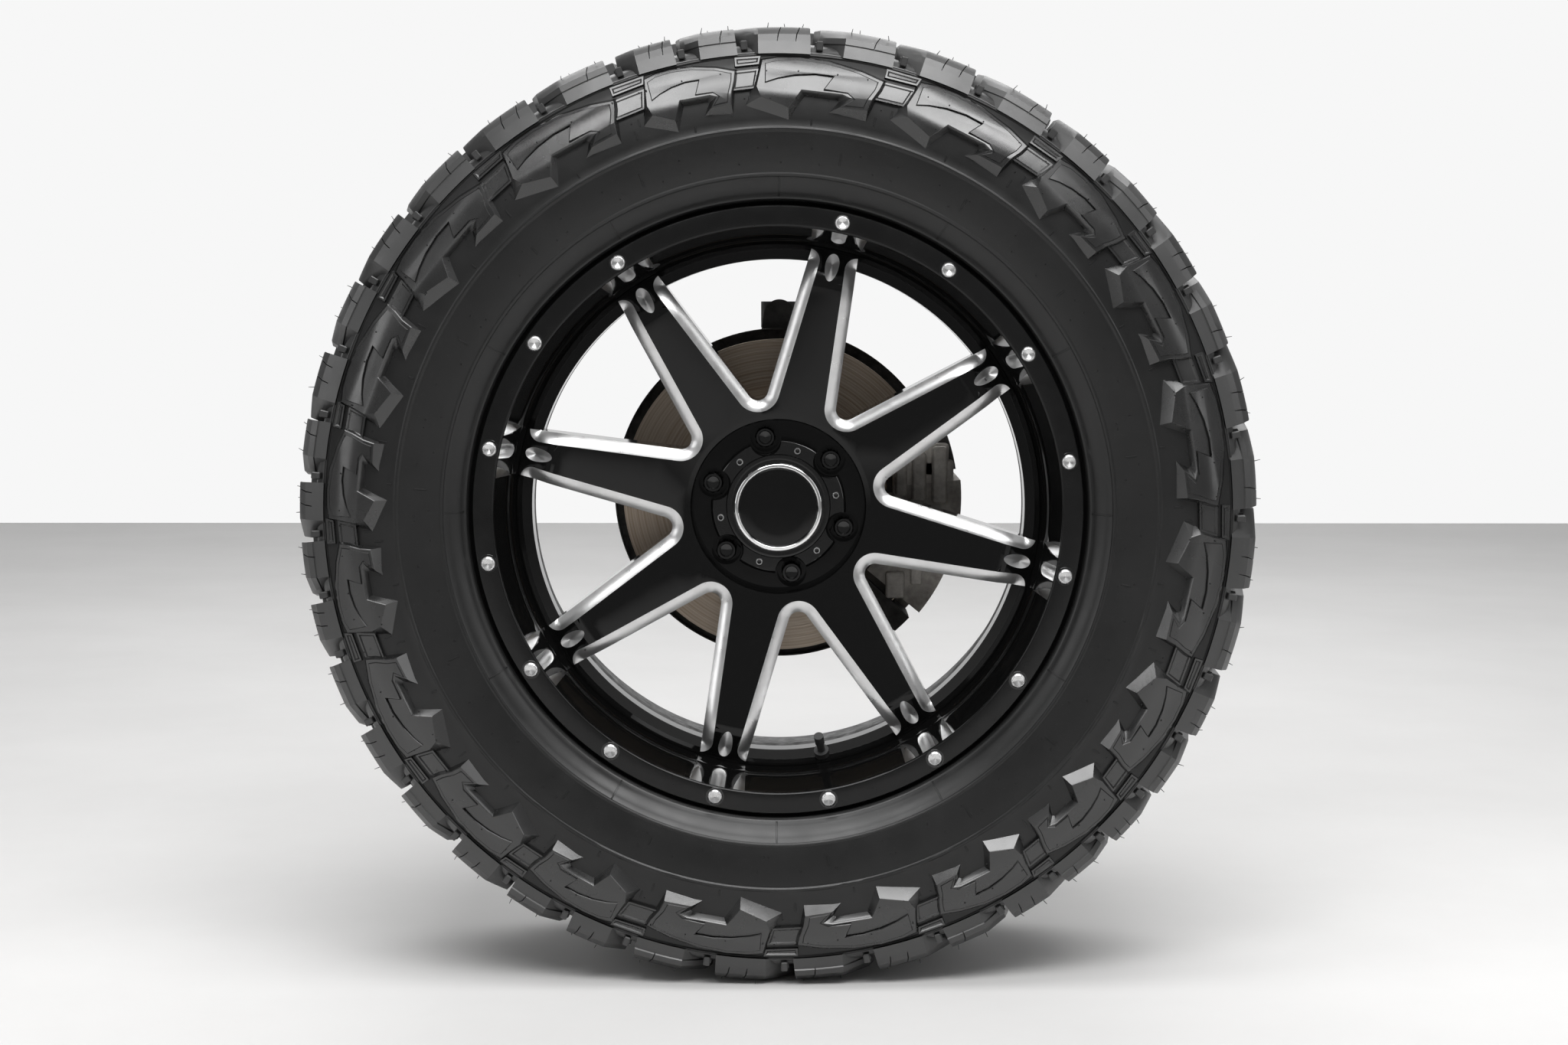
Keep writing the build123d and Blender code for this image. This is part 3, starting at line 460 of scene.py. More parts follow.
# Rim: one fine lathe from lip to back, with the spokes and the lands laid on it.
rim = {
    "steps": 360,
    "profile": [
        (278.4, 0, 1.5), (277.0, 2.6, 0.8), (280.4, 6.0, 1.5), (270.8, 46.0, 2.5),
        (267.3, 50.0, 0.6), (265.4, 55.0, 1.5), (262.2, 60.0, 1.0), (257.2, 68.6, 1.0),
        (247.2, 68.6, 1.2), (247.2, 112, 6), (266.5, 135, 6), (266.5, 245, 4),
        (282.6, 271.5, 1.5), (283, 280, 1.0), (298.5, 280, 2.0), (298.5, 267, 1.0),
        (279.4, 267, 2), (277.6, 245, 1), (278.7, 241, 1), (274, 236, 2), (274, 135, 6),
        (254, 112, 6), (254, 75.5, 3), (264, 68, 3), (278, 30, 3), (279.4, 13, 2),
        (298.5, 13, 1), (298.5, 0, 2.2),
    ],
    "lipDepth": 1.5, "lipRadius": 278,  # the satin face of the lip
    "castDepth": 69, "castRadius": 268,  # the rough barrel behind the ledge
}
bm = bmesh.new()
lathe(bm, rim["profile"], rim["steps"])
for face in bm.faces:
    middle = face.calc_center_median()
    far = middle.xy.length
    if -middle.z < rim["lipDepth"] and rim["lipRadius"] < far:
        face.material_index = 1
    if -middle.z > rim["castDepth"] and far < rim["castRadius"]:
        face.material_index = 2
finishPiece("rimBarrel", bm, [glossBlack, satinBlack, castBlack],
            replaces=("alloy_wheel",))

# Spokes: one is drawn pointing up, with half a window on each side, then repeated.
spider = {
    "first": 12.5, "count": 8, "edgeAngle": 26.9, "cornerCentre": 118.85, "cornerRadius": 10.5,
    "bevelWidth": 11.5, "bevelDepth": 7.0, "bevelShares": (0, 0.3, 0.55, 0.8, 1),
    "capRadius": 248.0, "ringRadius": 261.8, "ledgeRadius": 257, "ledgeDepth": 68.4,
    "wellRadius": 247.0, "wellReach": 246, "troughRadius": 93.0, "backRadius": 90,
    # radius and depth down the ring's wall, over the ledge and into the well
    "ringWall": [(261.8, 59.4), (257, 68.4), (247.0, 68.4), (247.0, 90)],
    # depth of the spoke's face and back by radius, and cuts that let the face bend
    "faceLine": [(93, 67.0), (222, 48.5), (226, 48.0), (230, 48.3), (235, 49.8), (262, 59.5)],
    "backLine": [(87, 124.0), (100, 124.0), (248, 88.0)],
    "faceCuts": (222, 226, 230, 235),
    "dimple": {"middle": 247.5, "outward": 10.5, "inward": 17.0, "half": 6.8, "deep": 3.6,
               "sizes": (1, 0.55, 0.08, 0.0), "steps": 40},
}
spokeAngles = spread(spider["count"], spider["first"])
halfPitch = radians(180 / spider["count"])
along = Vector((sin(halfPitch), cos(halfPitch)))
across = Vector((-cos(halfPitch), sin(halfPitch)))
lean = radians(spider["edgeAngle"])
edgeWay = along * cos(lean) + across * sin(lean)
edgeOut = across * cos(lean) - along * sin(lean)
edgeStart = along * spider["cornerCentre"] + edgeOut * spider["cornerRadius"]


def edgeAt(radius):
    # the point where a window's edge reaches a radius
    middle = edgeStart.dot(edgeWay)
    run = sqrt(middle**2 - edgeStart.length_squared + radius**2)
    return edgeStart + edgeWay * (-middle + run)


def cornerArc(radius, steps=10):
    # the window's inner corner, from its middle line to its straight edge
    turn = pi / 2 - lean
    return [along * spider["cornerCentre"]
            + (across * sin(turn * i / steps) - along * cos(turn * i / steps)) * radius
            for i in range(steps + 1)]


def arcAbove(radius, half, steps):
    # points from one side of the spoke to the other
    return [Vector((sin(t), cos(t))) * radius
            for t in [half * i / steps for i in range(-steps, steps + 1)]]


def sunk(places, deeper=0.0):
    return [Vector((p.x, p.y, -between(p.length, spider["faceLine"]) - deeper)) for p in places]


def backed(places):
    return [Vector((p.x, p.y, -between(p.length, spider["backLine"]))) for p in places]


def mirrored(places):
    return [Vector((-p.x, *p[1:])) for p in places]


def rolled(share):
    # depth across a milled bevel, which rounds over into the window
    return spider["bevelDepth"] * (0.35 * share + 0.65 * share ** 2)


bevel = spider["bevelWidth"]
capCentre = edgeAt(spider["capRadius"])
capArc = [capCentre + (edgeOut * cos(turn) + edgeWay * sin(turn)) * bevel
          for turn in [pi / 2 * i / 8 for i in range(9)]]
edgeRun = [edgeStart + (capCentre - edgeStart) * i / 8 for i in range(1, 9)]
innerSide = cornerArc(spider["cornerRadius"]) + edgeRun
outerSide = cornerArc(spider["cornerRadius"] + bevel) + [p + edgeOut * bevel for p in edgeRun]
tip = capArc[-1]
ringCorner = edgeAt(spider["ringRadius"])
ringTurn = atan2(ringCorner.x, ringCorner.y)

bm = bmesh.new()
# the face, filled between its outline and the dimple
rightSide = outerSide + capArc[1:]
outline = (arcAbove(spider["troughRadius"], halfPitch, 8) + rightSide
           + arcAbove(spider["ringRadius"], ringTurn, 6)[::-1] + mirrored(rightSide)[::-1])
dimple = spider["dimple"]
hollow = []
for turn in [tau * i / dimple["steps"] for i in range(dimple["steps"])]:
    reach = dimple["outward"] if cos(turn) > 0 else dimple["inward"]
    hollow.append(Vector((dimple["half"] * sin(turn),
                          dimple["middle"] + reach * cos(turn))))
drawFlat(bm, outline)
drawFlat(bm, hollow)
fill(bm)
for cut in spider["faceCuts"]:
    cutAt(bm, (0, cut, 0), (0, 1, 0))
for vertex in bm.verts:
    vertex.co = sunk([vertex.co.xy])[0]
# the dimple's scoop
middle = Vector((0, dimple["middle"]))
loft(bm, [sunk([middle + (p - middle) * size for p in hollow], dimple["deep"] * (1 - size))
          for size in dimple["sizes"]], True, 1)
for side in (lambda places: places, mirrored):
    # the milled bevel and its rounded end
    loft(bm, [side(sunk([mix(o, i, share) for o, i in zip(outerSide, innerSide)], rolled(share)))
              for share in spider["bevelShares"]], material=1)
    loft(bm, [side(sunk([mix(p, capCentre, share) for p in capArc], rolled(share)))
              for share in spider["bevelShares"]], material=1)
    # the window's walls
    top = side(sunk(innerSide, spider["bevelDepth"]) + sunk([tip, ringCorner]))
    ledgeEdge = [*innerSide, capCentre, edgeAt(spider["ledgeRadius"])]
    ledge = side([Vector((*p, -spider["ledgeDepth"])) for p in ledgeEdge])
    wellEdge = [p if p.length < spider["wellReach"] else edgeAt(spider["wellRadius"])
                for p in ledgeEdge]
    low = [t if t.z < l.z else l for t, l in zip(top, ledge)]
    loft(bm, [top, low, side(backed(wellEdge))])
    # the ring's side of the window: its wall and the ledge, to the window's middle
    ringRows = []
    for radius, depth in spider["ringWall"]:
        start = edgeAt(radius)
        startTurn = atan2(start.x, start.y)
        ringRows.append(side([clock(radius, degrees(mix(startTurn, halfPitch, i / 8)), depth)
                              for i in range(9)]))
    loft(bm, ringRows)
# the back
backSide = [*innerSide, edgeAt(spider["wellRadius"])]
rear = bmesh.new()
drawFlat(rear, arcAbove(spider["backRadius"], halfPitch, 8) + backSide + mirrored(backSide)[::-1])
fill(rear, 2)
for vertex in rear.verts:
    vertex.co = backed([vertex.co.xy])[0]
join(bm, rear)
repeat(bm, spokeAngles)

# The hub in the spokes' middle: a trough with pockets for the nuts, and the pad behind.
hubParts = {
    "profile": [
        (93, 67, 0), (93.2, 124, 0), (103, 124, 0), (86, 149, 3), (84, 162, 1), (53.05, 162, 0.5),
        (53.05, 118, 0), (60, 118, 0), (60, 110, 0), (87.0, 110, 0), (87.0, 70, 1.2), (88.2, 68.2, 0),
    ],
    "steps": 128, "floor": 92.0, "floorRings": (87.2, 53.0),
    "circle": 69.85, "firstStud": 349.0,
    "pocket": [(15.0, 92), (15.0, 128), (8, 132), (0.01, 132)],  # radius and depth
}
studAngles = spread(6, hubParts["firstStud"])
lathe(bm, hubParts["profile"], hubParts["steps"])
floor = bmesh.new()
for radius in hubParts["floorRings"]:
    chain(floor, [clock(radius, a, hubParts["floor"]) for a in spread(96)], True)
for stud in studAngles:
    middle = clock(hubParts["circle"], stud, hubParts["floor"])
    chain(floor, [middle + clock(hubParts["pocket"][0][0], a, 0) for a in spread(32)], True)
fill(floor)
for stud in studAngles:
    middle = clock(hubParts["circle"], stud, 0)
    loft(floor, [[middle + place for place in row]
                 for row in tube(hubParts["pocket"], spread(32))], True)
join(bm, floor)
finishPiece("spokes", bm, [glossBlack, milled, castBlack], sharp=24, recalc=False)

# Lands on the rim's slope: raised pads below each spoke, with milled crescents and a scoop.
# They are drawn flat: x round the rim at the lip, y down the slope.
land = {
    "top": 0.8, "bottom": 49.6, "rows": 14, "topHalf": 15.8, "bottomHalf": 26.0, "flare": 1.7,
    "outerTop": 27.8, "outerBottom": 26.6, "raised": 2.3, "footDown": 1.2, "footDeep": 2.0,
    "scoopHalf": 7.2, "scoopRound": 30, "scoopEnd": 45.0, "scoopDeep": 2.1,
    # radius of the land's face at the lip, what it loses on the way down, and the way out of it
    "faceRadius": 278.2, "taper": 0.22, "outIn": 0.9766, "outUp": 0.2148, "lipRadius": 278,
}


def onSlope(span, down, height=0.0):
    radius = land["faceRadius"] - land["taper"] * down - land["outIn"] * height
    return clock(radius, degrees(span / land["lipRadius"]), down - land["outUp"] * height)


def landHalf(down):
    share = (down / land["bottom"]) ** land["flare"]
    return mix(land["topHalf"], land["bottomHalf"], share)


levels = [land["bottom"] * i / land["rows"] for i in range(land["rows"] + 1)]
levels[0] = land["top"]
scoopHalf, scoopRound, scoopDeep = land["scoopHalf"], land["scoopRound"], land["scoopDeep"]
scoop = [(scoopHalf, land["top"]), (scoopHalf, 10), (scoopHalf, 20)]
scoop += [(scoopHalf * cos(t), scoopRound + (land["scoopEnd"] - scoopRound) * sin(t))
          for t in [pi * i / 16 for i in range(17)]]
scoop += [(-scoopHalf, 20), (-scoopHalf, 10), (-scoopHalf, land["top"])]
outline = [(landHalf(down), down) for down in levels]
outline += [(-landHalf(down), down) for down in levels[::-1]]
bm = bmesh.new()
drawFlat(bm, outline + scoop[::-1])
fill(bm)
for cut in range(-24, 25, 4):
    cutAt(bm, (cut, 0, 0), (1, 0, 0))
for vertex in bm.verts:
    vertex.co = onSlope(vertex.co.x, vertex.co.y)
loft(bm, [[onSlope(span, down) for span, down in scoop],
          [onSlope(span * 0.5, down - (down > scoopRound) * (down - scoopRound) * 0.35,
                   -scoopDeep * 0.8) for span, down in scoop],
          [onSlope(0, min(down, scoopRound + 2), -scoopDeep) for span, down in scoop]], material=1)
for side in (1, -1):
    near, far = [], []
    for down in levels:
        edge = mix(land["outerTop"], land["outerBottom"], down / land["bottom"])
        near.append(onSlope(side * landHalf(down), down))
        far.append(onSlope(side * max(edge, landHalf(down) + 0.2), down, -land["raised"] - 0.3))
    loft(bm, [near, far], material=1)
loft(bm, [[onSlope(span, land["bottom"] + down, -deep) for span in range(-26, 27, 4)]
          for down, deep in ((0, 0), (land["footDown"], land["footDeep"]))], material=1)
repeat(bm, spokeAngles)
finishPiece("slopeLands", bm, [glossBlack, milled])

lipBolt = {
    "circle": 287.8, "first": 12.5, "step": 22.5, "count": 15, "steps": 28,
    "head": [(0.02, 2, 0), (7.4, 2, 0), (7.4, -0.9, 0.7), (5.7, -2.4, 0.6), (5.1, -2.3, 0.4),
             (0.02, -0.4, 0)],
    # a dark ring round each head: painted shade for the recess the bolt sits in, which the flat lip
    # does not have
    "paintedShadeRing": [(7.5, 1, 0), (7.5, -0.35, 0.2), (9.3, -0.35, 0.2), (9.3, 1, 0)],
}
bm = bmesh.new()
for i in range(lipBolt["count"]):
    part = bmesh.new()
    lathe(part, lipBolt["head"], lipBolt["steps"], 2)
    # the dark ring is painted shade, not part of the bolt
    lathe(part, lipBolt["paintedShadeRing"], lipBolt["steps"], 1, material=1)
    join(bm, atPlace(part, lipBolt["circle"], lipBolt["first"] + i * lipBolt["step"]))
finishPiece("lipBoltHeads", bm, [plainSteel, capPlastic], replaces=("lip_bolts",))

nut = {
    "radius": 10.3, "root": 9.5, "splines": 10, "foot": 131.0,
    "crown": [(1, 87.6), (0.94, 86.6)],  # size and depth of the splines' end
    "socket": [(8.9, 86.0), (6.9, 86.0), (6.3, 86.5), (5.8, 90.5), (0.01, 91.5)],
}
bm = bmesh.new()
for stud in studAngles:
    part = bmesh.new()
    turns = spread(nut["splines"] * 6)
    wave = [mix(nut["root"], nut["radius"],
                0.5 + 0.5 * max(-1, min(1, 1.6 * cos(tau * i / 6))))
            for i in range(len(turns))]
    rows = [[clock(radius * size, turn, depth) for radius, turn in zip(wave, turns)]
            for size, depth in [(1, nut["foot"])] + nut["crown"]]
    loft(part, rows + tube(nut["socket"], turns), True)
    join(bm, atPlace(part, hubParts["circle"], stud))
finishPiece("splineNuts", bm, [capPlastic], replaces=("lug_nuts",))

# The cap's base has a notch round each nut, so its outline is worked out from both circles.
capBase = {
    "radius": 68.0, "notch": 16.5,
    "wall": [(1, 92), (1, 76.6), (0.985, 75.0), (0.962, 74.0)],  # size and depth
    "face": [(52.6, 74), (51.6, 73.0), (46.5, 72.6), (44.0, 73.4), (44.0, 80)],
    "skirt": [(52.9, 91, 0), (52.9, 108, 1), (50, 108, 1), (50, 91, 0)], "skirtSteps": 96,
}
circle, notch, radius = hubParts["circle"], capBase["notch"], capBase["radius"]
reach = degrees(acos((circle ** 2 + notch ** 2 - radius ** 2) / (2 * circle * notch)))
rimReach = degrees(asin(notch * sin(radians(reach)) / radius))
capOutline = []
for stud in studAngles:
    middle = clock(circle, stud, 0)
    capOutline += [middle + clock(notch, stud + 180 + mix(reach, -reach, i / 14), 0)
                   for i in range(15)]
    capOutline += [clock(radius, stud + mix(rimReach, 60 - rimReach, i / 12), 0)
                   for i in range(1, 12)]
rows = [[p * size + Vector((0, 0, -depth)) for p in capOutline] for size, depth in capBase["wall"]]
rows += [[p.normalized() * far + Vector((0, 0, -depth)) for p in capOutline]
         for far, depth in capBase["face"]]
bm = bmesh.new()
loft(bm, rows, True)
lathe(bm, capBase["skirt"], capBase["skirtSteps"])
finishPiece("capBase", bm, [capPlastic], replaces=("cap_base",), sharp=32)

capRing = {
    "steps": 160,
    "profile": [(39.5, 74.5, 0), (39.5, 60.2, 0.4), (40.5, 59.0, 0.6), (43.4, 59.4, 0.9),
                (44.4, 61.5, 0.8), (44.4, 74.5, 0)],
}
bm = bmesh.new()
lathe(bm, capRing["profile"], capRing["steps"], 4)
finishPiece("capRing", bm, [chrome], replaces=("cap_ring",))

capDisc = {
    "steps": 128,
    "profile": [(0.02, 59.9, 0), (30, 60.1, 3), (38.3, 60.9, 0.4), (39.3, 61.6, 0.3),
                (39.3, 64, 0), (0.02, 64, 0)],
}
bm = bmesh.new()
lathe(bm, capDisc["profile"], capDisc["steps"], 4)
finishPiece("capDisc", bm, [glossBlack], replaces=("cap_disc",))

capScrew = {
    "circle": 59.0, "afterStud": 30, "steps": 24,
    "head": [(3.4, 75), (3.4, 72.1), (2.9, 71.5), (2.3, 71.5)],
    "socket": [(2.3, 71.5), (2.2, 73.2), (0.01, 73.4)],
    "hexagon": (1, 0.9, 0.866, 0.9),  # share of the socket's radius, from a corner to the next
}
bm = bmesh.new()
for stud in studAngles:
    part = bmesh.new()
    turns = spread(capScrew["steps"])
    loft(part, tube(capScrew["head"], turns), True)
    loft(part, [[clock(radius * capScrew["hexagon"][i % 4], turn, depth)
                 for i, turn in enumerate(turns)] for radius, depth in capScrew["socket"]], True, 1)
    join(bm, atPlace(part, capScrew["circle"], stud + capScrew["afterStud"]))
finishPiece("capScrews", bm, [plainSteel, capPlastic], replaces=("cap_screws",))

caliperRib = {
    # ribs and pads cast on the caliper's outer face: left, right, low, high, front, back, rounding
    "blocks": [
        (119, 183, -8, 40, 178, 187, 4), (140, 178, 20, 57, 178, 187, 4),
        (122, 134, 2, 38, 172, 180, 3), (139, 154, -4, 48, 171, 180, 4),
        (160, 176, -6, 54, 170, 180, 4), (112, 132, -106, -78, 172, 178, 3),
        (128, 168, -34, -18, 172.5, 178, 3), (138, 150, -92, -70, 173, 178, 3),
    ],
    "segments": 3,
}
bm = bmesh.new()
for left, right, low, high, front, back, rounding in caliperRib["blocks"]:
    part = block((right - left, high - low, back - front), rounding, caliperRib["segments"])
    middle = ((left + right) / 2, (low + high) / 2, -(front + back) / 2)
    bmesh.ops.translate(part, vec=middle, verts=part.verts)
    join(bm, part)
# the ribs use the lighter iron, painted light over the caliper body's colour
finishPiece("caliperRibs", bm, [caliperIronPaintedLight], body="knuckle")

# Tyre: the casing is one lathe, and the claws and lugs come in pitches of four lengths.
tyre = {
    "steps": 320, "centre": 140.0, "crown": 470.0, "treadRadius": 442,
    # radius, depth and rounding of the outer sidewall, from the bead to the tread
    "side": [
        (279.8, 40, 2), (279.6, 14.5, 2), (297, 13.4, 2), (301.5, 9, 2), (303.0, 3, 1.5),
        (306.0, 2.2, 1.2), (310, -3.5, 2), (318, -9.8, 2), (324.6, -13.4, 0.5), (325.2, -14.7, 0.4),
        (327.6, -15.5, 0.4), (328.4, -14.8, 0.4), (338, -17.6, 3), (352, -20.2, 3), (364, -21.6, 2),
        (367.4, -21.9, 0.5), (368.2, -23.2, 0.4), (370.6, -23.3, 0.4), (371.6, -22.2, 0.5),
        (381, -21.9, 2), (392, -20.8, 2), (403, -19.2, 2), (413, -17.2, 2), (423, -14.6, 2),
        (432, -12.2, 2), (438.6, -11.0, 0.4), (439.6, -12.2, 0.4), (440.8, -11.6, 0.3),
        (441.0, -10.4, 0.3), (441.9, -10.6, 0.3), (443.0, -9.9, 0.3), (443.2, -8.8, 0.5),
        (447, -5.5, 2), (450.5, 1, 2), (452.4, 14, 4), (453, 60, 4),
    ],
    "inside": [(436, 120, 0), (436, 20, 16), (372, -9, 20), (318, 4, 10), (300, 20, 6), (284, 40, 3)],
    "pitches": {"a": 15.0, "b": 16.6, "c": 18.0, "d": 20.3},
    "order": "ddbcddbabddbccaacdda",
    "first": 357.6,
}
sideLine = [(radius, depth) for radius, depth, rounding in tyre["side"] if radius > 300]
pitchSum = sum(tyre["pitches"][letter] for letter in tyre["order"])
pitchList, pitchStart = [], tyre["first"]
for letter in tyre["order"]:
    pitchList.append((letter, pitchStart, tyre["pitches"][letter] * 360 / pitchSum))
    pitchStart += pitchList[-1][2]


def aroundTyre(bm, build):
    # each length of pitch is modelled once, at the top, and copied to its places
    made = {}
    for letter, start, pitch in pitchList:
        if letter not in made:
            made[letter] = bpy.data.meshes.new("pitch")
            part = build(pitch)
            part.to_mesh(made[letter])
            part.free()
        known = len(bm.verts)
        bm.from_mesh(made[letter])
        bm.verts.ensure_lookup_table()
        bmesh.ops.transform(bm, matrix=turned(start), verts=bm.verts[known:])
    for mesh in made.values():
        bpy.data.meshes.remove(mesh)


def acrossTyre(places):
    # the same section on the tyre's other side, in the order that closes the ring
    return [(radius, 2 * tyre["centre"] - depth, rounding) for radius, depth, rounding in places[::-1]]


bm = bmesh.new()
lathe(bm, tyre["side"] + acrossTyre(tyre["side"]) + acrossTyre(tyre["inside"]) + tyre["inside"],
      tyre["steps"], 1)
for face in bm.faces:
    if face.calc_center_median().xy.length > tyre["treadRadius"]:
        face.material_index = 1
finishPiece("tyreCasing", bm, [sideRubber, treadRubber], replaces=("tyre",))

claw = {
    # corners as share of the pitch and radius: at the foot of the ramp, then at the face
    "corners": [
        ((0.0, 437.5), (0.02, 435.4)), ((0.12, 439.5), (0.12, 437.4)), ((0.26, 440), (0.26, 437.8)),
        ((0.45, 438.6), (0.44, 436)), ((0.66, 434), (0.64, 431.5)), ((0.83, 428), (0.80, 426)),
        ((0.815, 416.5), (0.785, 417)), ((0.775, 404), (0.75, 405)), ((0.74, 382), (0.735, 394)),
        ((0.45, 385.5), (0.53, 392.2)), ((0.525, 398.5), (0.60, 403)), ((0.515, 400), (0.55, 405)),
        ((0.305, 400), (0.28, 405.6)), ((0.26, 389), (0.235, 396)), ((0.20, 372.6), (0.195, 388)),
        ((-0.13, 391), (0.0, 399)), ((-0.07, 405), (-0.025, 409.5)), ((-0.025, 423), (0.0, 423)),
    ],
    "foot": -19.0, "face": -28.8, "edge": 0.9,
    # the higher layer: the ridge along the top and the leg on the right
    "upper": [
        (0.04, 431.5), (0.12, 434.4), (0.26, 435), (0.43, 433.4), (0.62, 429), (0.765, 424),
        (0.755, 416), (0.72, 405), (0.705, 396.4), (0.565, 395), (0.63, 403), (0.58, 407.4),
        (0.42, 408), (0.475, 421.5), (0.36, 422), (0.23, 420), (0.12, 416.5), (0.035, 412.5),
    ],
    "upperEdge": 0.8, "upperRise": 1.2,
    # recessed pieces between two claws, by depth and outline, and the steps of their border
    "tabs": [
        (-22.0, [(0.79, 440), (1.03, 440), (1.01, 430), (0.79, 429)]),
        (-20.4, [(0.78, 427), (1.01, 428), (0.97, 407), (0.74, 406)]),
    ],
    "tabSteps": [(1.2, 4.2), (1.6, 0.0), (1.4, -1.3)],
    # how far the sidewall has curved in at a radius, and cuts that let the claws follow it
    "curve": [(360, 0.0), (392, 0.0), (403, 1.2), (413, 4.0), (423, 8.0), (432, 11.5), (442, 14.5)],
    "cuts": (397, 403, 408, 413, 418, 423, 428, 433), "cutShare": 0.4,
}


def plot(bm, pitch, outline, depth):
    # one flat face on the sidewall from (share of the pitch, radius) corners
    ring = [bm.verts.new(clock(radius, share * pitch, depth)) for share, radius in outline]
    return facedUp(bm.faces.new(ring))


def clawSide(pitch):
    part = bmesh.new()
    feet, tops = zip(*claw["corners"])
    rows = [[clock(radius, share * pitch, depth) for share, radius in places]
            for places, depth in ((feet, claw["foot"]), (tops, claw["face"] + claw["edge"]))]
    face = facedUp(part.faces.new(loft(part, rows, True)))
    step(part, face, claw["edge"], claw["edge"])
    face = plot(part, pitch, claw["upper"], claw["face"])
    step(part, face, claw["upperEdge"], claw["upperRise"])
    for depth, outline in claw["tabs"]:
        face = plot(part, pitch, outline, depth)
        for thickness, rise in claw["tabSteps"]:
            step(part, face, thickness, rise)
    way = clock(1, pitch * claw["cutShare"], 0)
    for cut in claw["cuts"]:
        cutAt(part, way * cut, way)
    for vertex in part.verts:
        vertex.co.z -= between(vertex.co.xy.length, claw["curve"])
    return part


def clawPitch(pitch):
    whole = bmesh.new()
    join(whole, clawSide(pitch))
    inboard = clawSide(pitch)
    bmesh.ops.mirror(inboard, geom=everything(inboard), axis="Z", merge_dist=0,
                     matrix=Matrix.Translation((0, 0, tyre["centre"])))
    far = [vertex for vertex in inboard.verts if vertex.co.z > -tyre["centre"]]
    bmesh.ops.delete(inboard, geom=far, context="VERTS")
    join(whole, inboard)
    return whole


bm = bmesh.new()
aroundTyre(bm, clawPitch)
finishPiece("sidewallClaws", bm, [clawRubber], sharp=24)

# Tread lugs are drawn on the unrolled tread: x along it in mm, y out from its middle, z up.
lug = {
    "root": 441.0, "slope": 1.6, "edge": 0.9, "bend": 9,
    # how far the tread falls away towards its shoulders, above a height
    "crowning": [(0, 0.0), (60, 0.3), (110, 1.2), (150, 3.2)], "crownFrom": 460,
    # share of the pitch and distance from the tread's middle, then the sipes' shares
    "long": ([(0.0, 163), (0.32, 163), (0.25, 128), (0.16, 120), (0.13, 78), (-0.18, 78),
              (-0.17, 140)], [0.10, 0.21]),
    "short": ([(0.52, 163), (0.83, 163), (0.75, 126), (0.66, 92), (0.32, 92), (0.36, 140)], [0.68]),
    "outer": ([(-0.04, 6), (0.34, 6), (0.37, 22), (0.50, 24), (0.53, 68), (0.17, 72), (0.14, 50),
               (-0.02, 46)], [0.24]),
    "inner": ([(0.46, -6), (0.84, -6), (0.87, -22), (1.00, -24), (1.03, -68), (0.67, -72),
               (0.64, -50), (0.48, -46)], [0.74]),
    "outerSmall": ([(0.58, 16), (0.80, 12), (0.88, 28), (0.86, 68), (0.66, 71), (0.62, 46)], [0.74]),
    "innerSmall": ([(0.08, -16), (0.30, -12), (0.38, -28), (0.36, -68), (0.16, -71), (0.12, -46)],
                   [0.24]),
    # shoulder lugs are drawn straight out to their tip, then sheared to an end shape by height
    "tip": 163, "shearFrom": 95, "shearReach": 40,
    "ends": {
        "long": [(441, 154.0), (452, 150.4), (460, 146.8), (467, 142), (470, 137)],
        "short": [(441, 153.0), (453, 149.5), (454, 150.6), (462, 147.0), (467, 141.5), (470, 135)],
    },
    "outCuts": (158, 152, 146, 138), "highCuts": (453, 454.2, 460, 466),
    "sipe": 1.0, "sipeDeep": 4.0, "sipeIn": 1.5, "sipeEnd": 161, "sipeAbove": 452,
    "sipeSkew": 0.12, "sipeRun": 85,
}
unroll = radians(1) * tyre["crown"]


def cutSipe(part, at, end, way, shoulder):
    # a thin strip is cut along the lug and sunk
    for shift in (-lug["sipe"] / 2, lug["sipe"] / 2):
        cutAt(part, (at + shift, end, 0), way)
    strips = []
    for face in part.faces:
        middle = face.calc_center_median()
        if (abs((middle - Vector((at, end, 0))).dot(way)) < lug["sipe"] / 2
                and (face.normal.z > 0.5 or face.normal.y > 0.4) and middle.z > lug["sipeAbove"]):
            strips.append(face)
    if strips:
        grown = bmesh.ops.extrude_face_region(part, geom=strips)["geom"]
        bmesh.ops.delete(part, geom=strips, context="FACES_ONLY")
        bmesh.ops.translate(part, vec=(0, -lug["sipeIn"] if shoulder else 0, -lug["sipeDeep"]),
                            verts=vertsIn(grown))


